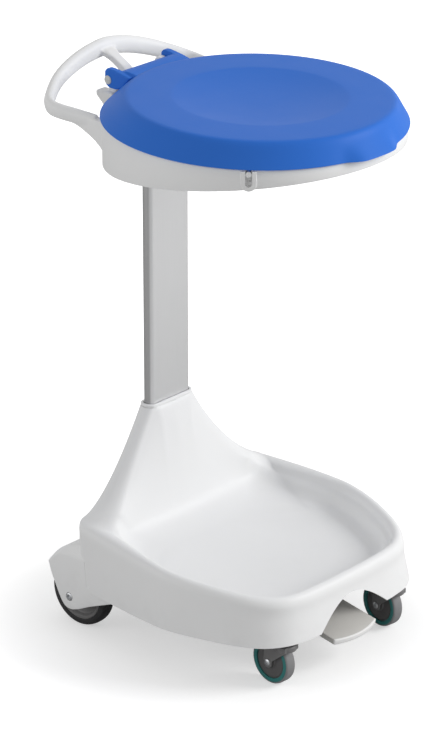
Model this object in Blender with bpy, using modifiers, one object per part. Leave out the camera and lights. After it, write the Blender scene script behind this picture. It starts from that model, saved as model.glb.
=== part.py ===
"""Waste sack holder: a tray base on wheels, a neck and column, a sack ring with handle and a pedal lid.

Metres, +Z up, the pedal's side towards -Y. The sizes that drive the shape come first, fits follow from them.
"""
import math

import bmesh
import bpy
from mathutils import Vector

# Fits: a gap between pieces that rest on each other, the play of a turning pair, the clearance of a mover
GAP = 0.0003
PLAY = 0.0005
CLEAR = 0.003

# Base moulding
BASE_HALF_WIDTH = 0.2220
REAR_NARROWING = 0.0215
WIDEST_Y = -0.044
RIM_FRONT_Y = -0.2315
FRONT_FLARE = 0.009
SKIRT_Z = 0.076
FLOOR_FRONT_Z = 0.112
FLOOR_BACK_Z = 0.138
RIM_FRONT_Z = 0.1445
RIM_REAR_Z = 0.1825
RIM_BOW = 0.6
SHELL_WALL = 0.004
NECK_TOP_Z = 0.329
NECK_SWEEP = 1.65
NECK_LIP = 0.0055
COLLAR_HEIGHT = 0.005
ARCH_HALF_WIDTH = 0.078
ARCH_TOP_Z = 0.1155

# Column and what runs inside it
COLUMN_Y = 0.141
COLUMN_WIDTH = 0.090
COLUMN_DEPTH = 0.020
COLUMN_CORNER = 0.0085
COLUMN_WALL = 0.0022
COLUMN_TOP_Z = 0.780
ROD_RADIUS = 0.004
ROD_HEAD_RADIUS = 0.008

# Sack ring, handle and hoop
RING_RADIUS = 0.224
RING_BACK_Y = 0.187
RING_TOP_Z = 0.822
RING_TOP_SLOPE = 0.027
RING_FRONT_DEPTH = 0.024
RING_BACK_DEPTH = 0.077
RING_WALL = 0.004
MOUTH_MARGIN = 0.044
MOUTH_FRONT_MARGIN = 0.011
HOOP_WALL = 0.0035
HOOP_DEPTH = 0.022
NOTCH_ANGLE = math.radians(51.5)
NOTCH_WIDTH = 0.010
HANDLE_NARROWING = 0.0655
HANDLE_BAR_Y = 0.2653
HANDLE_BAR_Z = 0.8685
HANDLE_HALF_DEPTH = 0.009
HANDLE_HALF_HEIGHT = 0.0135
ARM_WIDTH = 0.015

# Lid and its hinge
LID_OVERHANG = 0.003
LID_WALL = 0.0035
LID_TOP_RISE = 0.0355
LID_LEAN = 0.0105
LID_DISH_MARGIN = 0.095
LID_DISH_DEPTH = 0.009
GRIP_REACH = 0.011
GRIP_HALF_ANGLE = math.radians(16.0)
HINGE_Y = 0.1925
HINGE_Z = 0.8475
HINGE_PIN_RADIUS = 0.004
EAR_INNER_X = 0.057
EAR_WIDTH = 0.011
POST_WIDTH = 0.012
LID_OPEN = math.radians(70.0)

# Pedal
PIVOT_Y = -0.123
PIVOT_Z = 0.045
PEDAL_PRESS = math.radians(14.4)
LEVER_HALF_WIDTH = 0.010
LEVER_HEIGHT = 0.012
LEVER_FRONT_Y = -0.205
PAD_HALF_WIDTH = 0.049
PAD_FRONT_Y = -0.241
PAD_BACK_Y = -0.162
PAD_BOW = 0.010
PAD_THICKNESS = 0.009
PAD_FRONT_Z = 0.056
PAD_TILT = math.radians(10.8)

# Chassis plate and wheels
PLATE_Z = 0.092
PLATE_THICKNESS = 0.003
SCREW_RADIUS = 0.003
REAR_AXLE_Y = 0.163
REAR_WHEEL_RADIUS = 0.055
REAR_WHEEL_INSET = 0.033
REAR_TYRE_WIDTH = 0.026
REAR_AXLE_RADIUS = 0.004
CHEEK_WALL = 0.0085
HOOD_WIDTH = 0.054
CASTER_INSET = 0.094
CASTER_Y = -0.211
CASTER_TRAIL = 0.0235
CASTER_WHEEL_RADIUS = 0.036
CASTER_WHEEL_WIDTH = 0.0195
CASTER_AXLE_RADIUS = 0.003
FORK_WALL = 0.0035
CROWN_RADIUS = 0.017
CROWN_Z = 0.062
CROWN_HEIGHT = 0.009
KINGPIN_RADIUS = 0.005
CASTER_TURN = {"left": math.radians(-3.5), "right": math.radians(-8.0)}

# Places that follow from the sizes above
BASE_FRONT_Y = RIM_FRONT_Y - FRONT_FLARE
REAR_HALF_WIDTH = BASE_HALF_WIDTH - REAR_NARROWING
CASTER_X = BASE_HALF_WIDTH - CASTER_INSET
RING_Y = RING_BACK_Y - RING_RADIUS
MOUTH_RADIUS = RING_RADIUS - MOUTH_MARGIN
MOUTH_Y = RING_Y - RING_RADIUS + MOUTH_FRONT_MARGIN + MOUTH_RADIUS
HANDLE_HALF_WIDTH = RING_RADIUS - HANDLE_NARROWING
LID_RADIUS = RING_RADIUS + LID_OVERHANG
LID_DISH_RADIUS = LID_RADIUS - LID_DISH_MARGIN
BASE_BACK_Y = COLUMN_Y + COLUMN_DEPTH / 2 + NECK_LIP
NECK_DEPTH = COLUMN_DEPTH + 2 * NECK_LIP
NECK_TOP_HALF = COLUMN_WIDTH / 2 + NECK_LIP + 0.001
PLATE_TOP_Z = PLATE_Z + PLATE_THICKNESS
LEVER_TOP_Z = PIVOT_Z + LEVER_HEIGHT / 2
LEVER_BACK_Y = COLUMN_Y + 0.004
FOOT_SLOT_Z = (PIVOT_Z + (LEVER_BACK_Y - PIVOT_Y) * math.tan(PEDAL_PRESS)
               + LEVER_HEIGHT / 2 / math.cos(PEDAL_PRESS) + CLEAR)
COLUMN_FOOT_Z = FOOT_SLOT_Z + 0.006
RING_FLANGE_Z = RING_TOP_Z - RING_WALL
LID_RIM_Z = RING_TOP_Z + 2 * GAP
POST_INNER_X = EAR_INNER_X - 0.001 - POST_WIDTH
EAR_OUTER_X = EAR_INNER_X + EAR_WIDTH
CHEEK_OUTER_X = REAR_HALF_WIDTH + 0.0005
CHEEK_INNER_X = CHEEK_OUTER_X - CHEEK_WALL
HOOD_INNER_X = CHEEK_OUTER_X - HOOD_WIDTH
REAR_WHEEL_X = CHEEK_OUTER_X - REAR_WHEEL_INSET
POCKET_INNER_X = HOOD_INNER_X + 0.006
POCKET_RADIUS = REAR_WHEEL_RADIUS + 0.0055
CASTER_AXLE_Y = CASTER_Y + CASTER_TRAIL
CROWN_TOP_Z = CROWN_Z + CROWN_HEIGHT
SOCKET_Z = CROWN_TOP_Z + 0.0038
FORK_INNER = CASTER_WHEEL_WIDTH / 2 + 0.0015
ROD_SEAT_Z = LEVER_TOP_Z + GAP

# Turns that lay a piece's own Z along the object's X, or its own XY plane on the object's YZ or XZ plane
ALONG_X = (0.0, math.pi / 2, 0.0)
ALONG_MINUS_X = (0.0, -math.pi / 2, 0.0)
SIDE_ON = (math.pi / 2, 0.0, math.pi / 2)
FACE_ON = (math.pi / 2, 0.0, 0.0)


def collection(name):
    group = bpy.data.collections.new(name)
    bpy.context.scene.collection.children.link(group)
    return group


def material(name, colour, roughness, metallic=0.0):
    made = bpy.data.materials.new(name)
    made.use_nodes = True
    shader = made.node_tree.nodes["Principled BSDF"]
    shader.inputs["Base Color"].default_value = (*colour, 1.0)
    shader.inputs["Roughness"].default_value = roughness
    shader.inputs["Metallic"].default_value = metallic
    return made


for old in list(bpy.data.objects):
    bpy.data.objects.remove(old, do_unlink=True)
PARTS = collection("waste_sack_holder")
CUTTERS = collection("cutters")
WHITE = material("white_plastic", (0.85, 0.86, 0.86), 0.3)
BLUE = material("blue_plastic", (0.02, 0.10, 0.55), 0.3)
ALUMINIUM = material("aluminium", (0.62, 0.63, 0.64), 0.35, 1.0)
STEEL = material("steel", (0.45, 0.45, 0.46), 0.35, 1.0)
DARK = material("dark_grey_plastic", (0.07, 0.075, 0.08), 0.5)
BLACK = material("black_rubber", (0.02, 0.02, 0.022), 0.7)
TREAD = material("grey_rubber", (0.20, 0.20, 0.21), 0.7)
TEAL = material("teal_plastic", (0.02, 0.12, 0.13), 0.45)
GREY = material("grey_plastic", (0.50, 0.49, 0.47), 0.5)


def mesh_from(name, bm):
    mesh = bpy.data.meshes.new(name)
    bm.to_mesh(mesh)
    bm.free()
    return mesh


def add(name, mesh, finish, place=(0.0, 0.0, 0.0), turn=(0.0, 0.0, 0.0)):
    """Puts a mesh in the scene as a named piece, smooth except at its sharp edges."""
    mesh.materials.append(finish)
    mesh.shade_smooth()
    mesh.set_sharp_from_angle(angle=math.radians(35.0))
    obj = bpy.data.objects.new(name, mesh)
    obj.location = place
    obj.rotation_euler = turn
    PARTS.objects.link(obj)
    return obj


def box(name, low, high, finish):
    """Box between two corners."""
    low, high = Vector(low), Vector(high)
    bm = bmesh.new()
    bmesh.ops.create_cube(bm, size=1.0)
    bmesh.ops.scale(bm, vec=high - low, verts=bm.verts)
    return add(name, mesh_from(name, bm), finish, (low + high) / 2)


def rod(name, radius, start, end, finish, sides=16):
    """Cylinder from one point to another."""
    start, end = Vector(start), Vector(end)
    along = end - start
    bm = bmesh.new()
    bmesh.ops.create_cone(bm, cap_ends=True, segments=sides, radius1=radius, radius2=radius, depth=along.length)
    return add(name, mesh_from(name, bm), finish, (start + end) / 2, along.to_track_quat("Z", "Y").to_euler())


def turned(name, profile, finish, place, turn=(0.0, 0.0, 0.0), steps=32):
    """Profile of (radius, height) points, down its outer side, turned round the piece's own Z."""
    bm = bmesh.new()
    verts = [bm.verts.new((radius, 0.0, height)) for radius, height in profile]
    for a, b in zip(verts, verts[1:]):
        bm.edges.new((a, b))
    if min(radius for radius, _ in profile) > 0.0:
        bm.edges.new((verts[-1], verts[0]))
    obj = add(name, mesh_from(name, bm), finish, place, turn)
    screw = obj.modifiers.new("turn", "SCREW")
    screw.steps = screw.render_steps = steps
    screw.use_merge_vertices = True
    screw.merge_threshold = 0.00001
    return obj


def mesh_of_curve(curve):
    """Closed mesh of a curve with thickness, its seams merged."""
    holder = bpy.data.objects.new(curve.name, curve)
    PARTS.objects.link(holder)
    graph = bpy.context.evaluated_depsgraph_get()
    mesh = bpy.data.meshes.new_from_object(holder.evaluated_get(graph))
    bpy.data.objects.remove(holder, do_unlink=True)
    bm = bmesh.new()
    bm.from_mesh(mesh)
    bmesh.ops.remove_doubles(bm, verts=bm.verts, dist=0.00001)
    bmesh.ops.recalc_face_normals(bm, faces=bm.faces)
    bm.to_mesh(mesh)
    bm.free()
    mesh.materials.clear()
    return mesh


def plate(name, loops, low, high, finish, place=(0.0, 0.0, 0.0), turn=(0.0, 0.0, 0.0)):
    """Flat outlines (the later ones are holes) thickened from low to high along the piece's own Z."""
    curve = bpy.data.curves.new(name, "CURVE")
    curve.dimensions = "2D"
    curve.fill_mode = "BOTH"
    curve.extrude = (high - low) / 2
    for loop in loops:
        spline = curve.splines.new("POLY")
        spline.points.add(len(loop) - 1)
        for point, (x, y) in zip(spline.points, loop):
            point.co = (x, y, 0.0, 1.0)
        spline.use_cyclic_u = True
    mesh = mesh_of_curve(curve)
    for vert in mesh.vertices:
        vert.co.z += (low + high) / 2
    return add(name, mesh, finish, place, turn)


def pipe(name, points, half_width, half_height, finish):
    """Bar of oval section along a smooth path, its ends capped."""
    section = bpy.data.curves.new(name + "_section", "CURVE")
    section.dimensions = "2D"
    section.resolution_u = 3
    oval = section.splines.new("BEZIER")
    oval.bezier_points.add(3)
    places = ((half_width, 0), (0, half_height), (-half_width, 0), (0, -half_height))
    for point, place in zip(oval.bezier_points, places):
        point.co = (*place, 0.0)
        point.handle_left_type = point.handle_right_type = "AUTO"
    oval.use_cyclic_u = True
    section_holder = bpy.data.objects.new(section.name, section)
    CUTTERS.objects.link(section_holder)
    curve = bpy.data.curves.new(name, "CURVE")
    curve.dimensions = "3D"
    curve.bevel_mode = "OBJECT"
    curve.bevel_object = section_holder
    curve.use_fill_caps = True
    curve.twist_mode = "Z_UP"
    curve.resolution_u = 2
    spline = curve.splines.new("BEZIER")
    spline.bezier_points.add(len(points) - 1)
    for point, (x, y, z, size) in zip(spline.bezier_points, points):
        point.co = (x, y, z)
        point.radius = size
        point.handle_left_type = point.handle_right_type = "AUTO"
    mesh = mesh_of_curve(curve)
    bpy.data.objects.remove(section_holder, do_unlink=True)
    return add(name, mesh, finish)


def lofted(name, sections, finish):
    """Skin over outlines with equal numbers of points, its ends capped."""
    bm = bmesh.new()
    rings = [[bm.verts.new(point) for point in section] for section in sections]
    for a, b in zip(rings, rings[1:]):
        for i, j in zip(range(-1, len(a) - 1), range(len(a))):
            bm.faces.new((a[i], a[j], b[j], b[i]))
    bm.faces.new(rings[0])
    bm.faces.new(rings[-1])
    bmesh.ops.recalc_face_normals(bm, faces=bm.faces)
    return add(name, mesh_from(name, bm), finish)


def sloped(obj):
    """Tips the level top of an upright piece down to the front, like the ring's top."""
    into = obj.matrix_basis.inverted()
    places = [obj.matrix_basis @ vert.co for vert in obj.data.vertices]
    top = max(place.z for place in places)
    for vert, place in zip(obj.data.vertices, places):
        if place.z > top - 0.001:
            place.z += RING_TOP_SLOPE * (place.y - RING_Y)
            vert.co = into @ place
    return obj


def as_tool(obj):
    """Moves a piece among the shapes that only cut or build up other pieces."""
    PARTS.objects.unlink(obj)
    CUTTERS.objects.link(obj)
    obj.hide_render = True
    obj.display_type = "WIRE"
    return obj


def combine(target, tools, operation):
    for tool in tools:
        step = target.modifiers.new(tool.name, "BOOLEAN")
        step.operation = operation
        step.solver = "EXACT"
        step.object = as_tool(tool)
        tool.parent = target
        tool.matrix_parent_inverse = target.matrix_basis.inverted()


def cut(target, *tools):
    combine(target, tools, "DIFFERENCE")


def join(target, *tools):
    combine(target, tools, "UNION")


def arc(centre, radius, start, end, count):
    """Points on an arc between two angles in degrees, both ends included."""
    angles = [math.radians(start + (end - start) * i / count) for i in range(count + 1)]
    return [(centre[0] + radius * math.cos(a), centre[1] + radius * math.sin(a)) for a in angles]


def circle(centre, radius, count=16):
    return arc(centre, radius, 0.0, 360.0 - 360.0 / count, count - 1)


def rounded(half_x, half_y, radius, count=4, centre=(0.0, 0.0)):
    """Rectangle with rounded corners, as a list of points."""
    points = []
    for sx, sy, start in ((1, 1, 0.0), (-1, 1, 90.0), (-1, -1, 180.0), (1, -1, 270.0)):
        middle = (centre[0] + sx * (half_x - radius), centre[1] + sy * (half_y - radius))
        points += arc(middle, radius, start, start + 90.0, count)
    return points


def share(value, low, high):
    """How far a value lies between two others, from 0 to 1."""
    return min(max((value - low) / (high - low), 0.0), 1.0)


# Base moulding: lines from the skirt's lower edge up over the rim or neck and down to the tray's floor.
# Each line over the rim: inset along the side and at its rear end, distance from the back at the neck's foot and top,
# reach round the neck's corner at foot and top, fall below the rim, drop on the neck, radius of the rear corner
REAR_RADIUS = 0.030
TOP_RADIUS = 0.0145
RIM_LINES = ((0.0000, 0.000, 0.0000, 0.0000, REAR_RADIUS, TOP_RADIUS, 0.0130, 0.0006, REAR_RADIUS),
             (0.0025, 0.004, 0.0088, 0.0042, 0.0088, 0.0042, 0.0045, 0.0000, 0.0270),
             (0.0080, 0.012, REAR_RADIUS, TOP_RADIUS, 0.0, 0.0, 0.0, 0.0, 0.0180),
             (0.0125, 0.018, 0.0400, NECK_DEPTH - TOP_RADIUS, 0.0, 0.0, 0.0, 0.0, 0.0200),
             (0.0180, 0.026, 0.0520, NECK_DEPTH - 0.0042, 0.0064, 0.0042, 0.0040, 0.0, 0.0240),
             (0.0210, 0.031, 0.0580, NECK_DEPTH, 0.0220, TOP_RADIUS, 0.0120, 0.0006, 0.0320))
# Each line down to the floor: inset, inset at the rear end, distance from the back, rise over the floor, rear radius
FLOOR_LINES = ((0.028, 0.036, 0.068, 0.018, 0.042), (0.034, 0.042, 0.080, 0.006, 0.050),
               (0.046, 0.054, 0.098, 0.0, 0.056))
# The rim's outline from the front middle to its widest place, as shares of the half width and of the length
FRONT_PLAN = ((0.0, 0.0), (0.235, 0.003), (0.445, 0.016), (0.595, 0.052), (0.699, 0.122), (0.783, 0.224),
              (0.843, 0.340), (0.891, 0.466), (0.931, 0.592), (0.963, 0.717), (0.987, 0.851), (1.0, 1.0))


def side_half_width(y):
    t = share(y, WIDEST_Y, BASE_BACK_Y - REAR_RADIUS)
    return BASE_HALF_WIDTH - (BASE_HALF_WIDTH - REAR_HALF_WIDTH) * t ** 1.35


def front_flare(y):
    """How far the skirt's lower edge stands out from the rim's outline: at the front, not at the sides."""
    return FRONT_FLARE * (1.0 - share(y, RIM_FRONT_Y + 0.030, RIM_FRONT_Y + 0.125))


def front_outline(inset):
    """Left front part of the rim's outline with an inset that may vary along it, as (x, y)."""
    length = WIDEST_Y - RIM_FRONT_Y
    plan = [Vector((-fx * BASE_HALF_WIDTH, RIM_FRONT_Y + fy * length)) for fx, fy in FRONT_PLAN]
    points = []
    for i, point in enumerate(plan):
        before = plan[i - 1] if i else Vector((-plan[1].x, plan[1].y))
        after = plan[i + 1] if i + 1 < len(plan) else point + Vector((0.0, 0.01))
        along = (after - before).normalized()
        inward = Vector((along.y, -along.x))
        points.append(tuple(point + inward * inset(point.y)))
    return points


def rim_height(y):
    t = share(y, RIM_FRONT_Y, BASE_BACK_Y - NECK_DEPTH)
    return RIM_FRONT_Z + (RIM_REAR_Z - RIM_FRONT_Z) * t * (1.0 + RIM_BOW * (1.0 - t))


def neck_height(half_width):
    """Height at which the neck has narrowed to a half width."""
    t = share(half_width, NECK_TOP_HALF, REAR_HALF_WIDTH)
    return RIM_REAR_Z + (NECK_TOP_Z - RIM_REAR_Z) * (1.0 - t) ** NECK_SWEEP


def floor_height(y):
    front, back = RIM_FRONT_Y + FLOOR_LINES[-1][0], BASE_BACK_Y - FLOOR_LINES[-1][2]
    return FLOOR_FRONT_Z + (FLOOR_BACK_Z - FLOOR_FRONT_Z) * (y - front) / (back - front)


def half_outline(front, side, side_rear, foot, top, rear, end_x):
    """Left half of an outline from the front middle, along the side and round the rear corner to the back middle.

    The third number of a point says how far it belongs to the neck, the fourth how far it has climbed the neck.
    """
    rear_y = BASE_BACK_Y - foot - rear
    rear_x = -(side_half_width(rear_y) - side_rear - rear)
    points = [(x, y, 0.0, 0.0) for x, y in front_outline(front)]
    for i in range(1, 5):
        y = WIDEST_Y + (rear_y - WIDEST_Y) * i / 5
        points.append((-(side_half_width(y) - side - (side_rear - side) * i / 5), y, 0.0, 0.0))
    points += [(x, y, i / 4, 0.0) for i, (x, y) in enumerate(arc((rear_x, rear_y), rear, 180.0, 90.0, 4))]
    for i in range(1, 10):
        y = BASE_BACK_Y - top - (foot - top) * (1.0 - i / 9) ** 1.8
        points.append((rear_x + (-end_x - rear_x) * i / 9, y, 1.0, i / 9))
    points.append((0.0, BASE_BACK_Y - top, 1.0, 1.0))
    return points


def skirt_line():
    """The lower edge: the rim's outline, flared out at the front."""
    outline = half_outline(lambda y: -front_flare(y), 0.0, 0.0, 0.0, 0.0, REAR_RADIUS, NECK_TOP_HALF - TOP_RADIUS)
    return [(x, y, SKIRT_Z) for x, y, _, _ in outline]


def rim_line(side, side_rear, foot, top, reach, top_reach, fall, drop, rear):
    """A line on the rounded rim, which goes on up the neck's flank and over its top."""
    line = []
    for x, y, neck, climb in half_outline(lambda y: side, side, side_rear, foot, top, rear, NECK_TOP_HALF - top_reach):
        flank = neck_height(abs(x) + reach + (top_reach - reach) * climb)
        height = rim_height(y) * (1.0 - neck) + flank * neck
        line.append((x, y, height - fall * (1.0 - neck) - drop * neck))
    return line


def floor_line(side, side_rear, back, rise, rear):
    outline = half_outline(lambda y: side, side, side_rear, back, back, rear, NECK_TOP_HALF - TOP_RADIUS)
    return [(x, y, floor_height(y) + rise) for x, y, _, _ in outline]


def base_mesh():
    loops = [skirt_line()] + [rim_line(*row) for row in RIM_LINES] + [floor_line(*row) for row in FLOOR_LINES]
    bm = bmesh.new()
    rows = [[bm.verts.new(point) for point in loop] for loop in loops]
    for low, high in zip(rows, rows[1:]):
        for i in range(len(low) - 1):
            bm.faces.new((low[i], high[i], high[i + 1], low[i + 1]))
    bm.faces.new(tuple(reversed(rows[-1])))
    return mesh_from("base_shell", bm)


base = add("base_shell", base_mesh(), WHITE)
mirror = base.modifiers.new("mirror", "MIRROR")
mirror.merge_threshold = 0.0001
solid = base.modifiers.new("wall", "SOLIDIFY")
solid.thickness = SHELL_WALL
solid.offset = -1.0
solid.use_even_offset = True
solid.thickness_clamp = 1.0

# Wheel hoods: a flat cheek outside each rear wheel and a crowned hood over its back, outlines in (y, z)
CHEEK_TOP = ((0.206, 0.103), (0.193, 0.115), (0.181, 0.1235), (0.160, 0.125), (0.139, 0.125), (0.130, 0.1235))
HOOD_TOP = ((0.209, 0.106), (0.198, 0.119), (0.184, 0.130), (0.165, 0.1385), (0.145, 0.142), (0.130, 0.143))
CHEEK_LOWER = ((0.060, SKIRT_Z), (0.074, 0.070), (0.120, 0.051), (0.156, 0.035), (0.171, 0.036), (0.179, 0.044),
               (0.200, 0.085))
CHEEK = CHEEK_TOP + ((0.126, SKIRT_Z + 0.004), (0.060, SKIRT_Z + 0.004)) + CHEEK_LOWER
# Each section of the hood: distance from the cheek's outer face, share of the crown's height
HOOD_SECTIONS = ((0.0005, 0.0), (0.0045, 0.6), (0.0120, 1.0), (HOOD_WIDTH, 1.0))
REAR_AXLE = (REAR_AXLE_Y, REAR_WHEEL_RADIUS)
BOLT_HEAD_RADIUS = 0.0065
BOLT_SEAT_X = CHEEK_OUTER_X - 0.0035
for side in (-1, 1):
    tag = "left" if side < 0 else "right"
    low, high = sorted((side * CHEEK_INNER_X, side * CHEEK_OUTER_X))
    hood = []
    for inset, rise in HOOD_SECTIONS:
        top = [(a + (c - a) * rise, b + (d - b) * rise) for (a, b), (c, d) in zip(CHEEK_TOP, HOOD_TOP)]
        outline = top + [(0.130, 0.047)] + list(CHEEK_LOWER[3:])
        hood.append([(side * (CHEEK_OUTER_X - inset), y, z) for y, z in outline])
    join(base, plate(f"cheek_{tag}", [CHEEK], low, high, WHITE, turn=SIDE_ON), lofted(f"hood_{tag}", hood, WHITE))
    spot = (REAR_AXLE_Y, REAR_WHEEL_RADIUS)
    for label, radius, start, end, sides in (
            ("pocket", POCKET_RADIUS, POCKET_INNER_X, CHEEK_INNER_X, 32),
            ("axle_hole", REAR_AXLE_RADIUS + GAP, HOOD_INNER_X - 0.01, CHEEK_OUTER_X + 0.01, 16),
            ("bolt_seat", BOLT_HEAD_RADIUS + PLAY, BOLT_SEAT_X, CHEEK_OUTER_X + 0.01, 16)):
        cut(base, rod(f"{label}_{tag}", radius, (side * start, *spot), (side * end, *spot), WHITE, sides))

# Front arch for the pedal, the column's slot in the neck and the screw bosses under the tray's floor
arch = [(x * ARCH_HALF_WIDTH, SKIRT_Z + (ARCH_TOP_Z - SKIRT_Z) * math.cos(math.pi / 2 * x))
        for x in (1.0 - i / 8 for i in range(17))]
arch += [(-ARCH_HALF_WIDTH, SKIRT_Z - 0.01), (ARCH_HALF_WIDTH, SKIRT_Z - 0.01)]
cut(base, plate("arch", [arch], -BASE_FRONT_Y - 0.04, -BASE_FRONT_Y + 0.02, WHITE, turn=FACE_ON))
column_hole = rounded(COLUMN_WIDTH / 2 + GAP, COLUMN_DEPTH / 2 + GAP, COLUMN_CORNER + GAP)
cut(base, plate("column_slot", [column_hole], NECK_TOP_Z - 0.02, NECK_TOP_Z + 0.02, WHITE, (0.0, COLUMN_Y, 0.0)))
SCREW_X = CASTER_X - 0.008
SCREW_SPOTS = [(x, y) for x in (-SCREW_X, SCREW_X) for y in (-0.150, 0.030)]
for i, (x, y) in enumerate(SCREW_SPOTS):
    join(base, rod(f"boss_{i}", 0.009, (x, y, PLATE_TOP_Z + GAP), (x, y, floor_height(y) - 0.002), WHITE))
    cut(base, rod(f"boss_hole_{i}", SCREW_RADIUS + GAP, (x, y, PLATE_Z), (x, y, floor_height(y) - 0.007), WHITE))

collar_outer = rounded(COLUMN_WIDTH / 2 + NECK_LIP, COLUMN_DEPTH / 2 + NECK_LIP, COLUMN_CORNER + NECK_LIP, 6)
collar = plate("neck_collar", [collar_outer, column_hole], NECK_TOP_Z + GAP, NECK_TOP_Z + COLLAR_HEIGHT, WHITE,
               (0.0, COLUMN_Y, 0.0))

# Chassis plate under the tray: two front lobes for the casters, slot for the lever, holes for screws and kingpins
PLATE_INSET = SHELL_WALL + 0.004
PLATE_BACK_Y = BASE_BACK_Y - SHELL_WALL - 0.001
TONGUE_HALF_WIDTH = COLUMN_WIDTH / 2 + 0.015
WHEEL_GAP_Y = REAR_AXLE_Y - REAR_WHEEL_RADIUS - 0.008
SLOT_HALF = LEVER_HALF_WIDTH + 0.004
SLOT_FRONT_Y = PIVOT_Y + (PLATE_Z - LEVER_TOP_Z) / math.tan(PEDAL_PRESS) - 0.035
left_front = front_outline(lambda y: PLATE_INSET - 0.75 * front_flare(y))
PLATE_FRONT_Y = RIM_FRONT_Y + 0.058
lobe = left_front[2:]
notch_x = -lobe[0][0]
PLATE_HALF_WIDTH = side_half_width(WHEEL_GAP_Y) - PLATE_INSET
plate_outline = list(reversed(lobe)) + [(-notch_x, PLATE_FRONT_Y), (notch_x, PLATE_FRONT_Y)]
plate_outline += [(-x, y) for x, y in lobe] + [
    (PLATE_HALF_WIDTH, WHEEL_GAP_Y), (TONGUE_HALF_WIDTH, WHEEL_GAP_Y), (TONGUE_HALF_WIDTH, PLATE_BACK_Y),
    (-TONGUE_HALF_WIDTH, PLATE_BACK_Y), (-TONGUE_HALF_WIDTH, WHEEL_GAP_Y), (-PLATE_HALF_WIDTH, WHEEL_GAP_Y)]
slot = [(-SLOT_HALF, SLOT_FRONT_Y), (SLOT_HALF, SLOT_FRONT_Y), (SLOT_HALF, LEVER_BACK_Y + 0.001),
        (-SLOT_HALF, LEVER_BACK_Y + 0.001)]
FOOT_HALF_WIDTH = COLUMN_WIDTH / 2
FOOT_SCREW_X = (SLOT_HALF + 0.001 + FOOT_HALF_WIDTH) / 2
holes = [circle(spot, SCREW_RADIUS + GAP) for spot in SCREW_SPOTS]
holes += [circle((side * FOOT_SCREW_X, COLUMN_Y), SCREW_RADIUS + GAP) for side in (-1, 1)]
holes += [circle((side * CASTER_X, CASTER_Y), KINGPIN_RADIUS + PLAY) for side in (-1, 1)]
plate("chassis_plate", [plate_outline, slot] + holes, PLATE_Z, PLATE_TOP_Z, STEEL)


def screw_piece(name, x, y, seat, reach, head, up=1):
    """Round-headed screw: the head under (or over) its seat, the shank going in from there."""
    profile = [(0.0, reach), (SCREW_RADIUS, reach), (SCREW_RADIUS, 0.0), (head, 0.0), (head, -0.0015),
               (head * 0.6, -0.003), (0.0, -0.003)]
    return turned(name, profile, STEEL, (x, y, seat - up * GAP), (0.0 if up > 0 else math.pi, 0.0, 0.0), 10)


for i, (x, y) in enumerate(SCREW_SPOTS):
    screw_piece(f"base_screw_{i + 1}", x, y, PLATE_Z, 0.016, 0.0055)

# Column, its foot astride the lever, and its head under the ring's flange
column_outer = rounded(COLUMN_WIDTH / 2, COLUMN_DEPTH / 2, COLUMN_CORNER)
column_inner = rounded(COLUMN_WIDTH / 2 - COLUMN_WALL, COLUMN_DEPTH / 2 - COLUMN_WALL, COLUMN_CORNER - COLUMN_WALL)
column_place = (0.0, COLUMN_Y, 0.0)
plate("column", [column_outer, column_inner], COLUMN_FOOT_Z + GAP, COLUMN_TOP_Z, ALUMINIUM, column_place)
plug = rounded(COLUMN_WIDTH / 2 - COLUMN_WALL - GAP, COLUMN_DEPTH / 2 - COLUMN_WALL - GAP,
               COLUMN_CORNER - COLUMN_WALL - GAP)
GUIDE_RADIUS = ROD_RADIUS + 0.0018
rod_hole = circle((0.0, 0.0), GUIDE_RADIUS + GAP)
PLUG_DEPTH = 0.036
half = FOOT_HALF_WIDTH
foot_outline = [(-half, PLATE_TOP_Z + GAP), (-SLOT_HALF - 0.001, PLATE_TOP_Z + GAP), (-SLOT_HALF - 0.001, FOOT_SLOT_Z),
                (SLOT_HALF + 0.001, FOOT_SLOT_Z), (SLOT_HALF + 0.001, PLATE_TOP_Z + GAP), (half, PLATE_TOP_Z + GAP),
                (half, COLUMN_FOOT_Z), (-half, COLUMN_FOOT_Z)]
foot = plate("column_foot", [foot_outline], -COLUMN_DEPTH / 2, COLUMN_DEPTH / 2, DARK, column_place, FACE_ON)
join(foot, plate("foot_plug", [plug], COLUMN_FOOT_Z - 0.001, COLUMN_FOOT_Z + PLUG_DEPTH, DARK, column_place))
cut(foot, rod("foot_rod_hole", GUIDE_RADIUS + GAP, (0.0, COLUMN_Y, FOOT_SLOT_Z - 0.01),
              (0.0, COLUMN_Y, COLUMN_FOOT_Z + PLUG_DEPTH + 0.01), DARK))
for side in (-1, 1):
    tag = "left" if side < 0 else "right"
    cut(foot, rod(f"foot_hole_{tag}", SCREW_RADIUS + GAP, (side * FOOT_SCREW_X, COLUMN_Y, PLATE_Z),
                  (side * FOOT_SCREW_X, COLUMN_Y, PLATE_TOP_Z + 0.018), DARK))
    screw_piece(f"foot_screw_{tag}", side * FOOT_SCREW_X, COLUMN_Y, PLATE_Z, 0.018, 0.0055)

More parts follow.
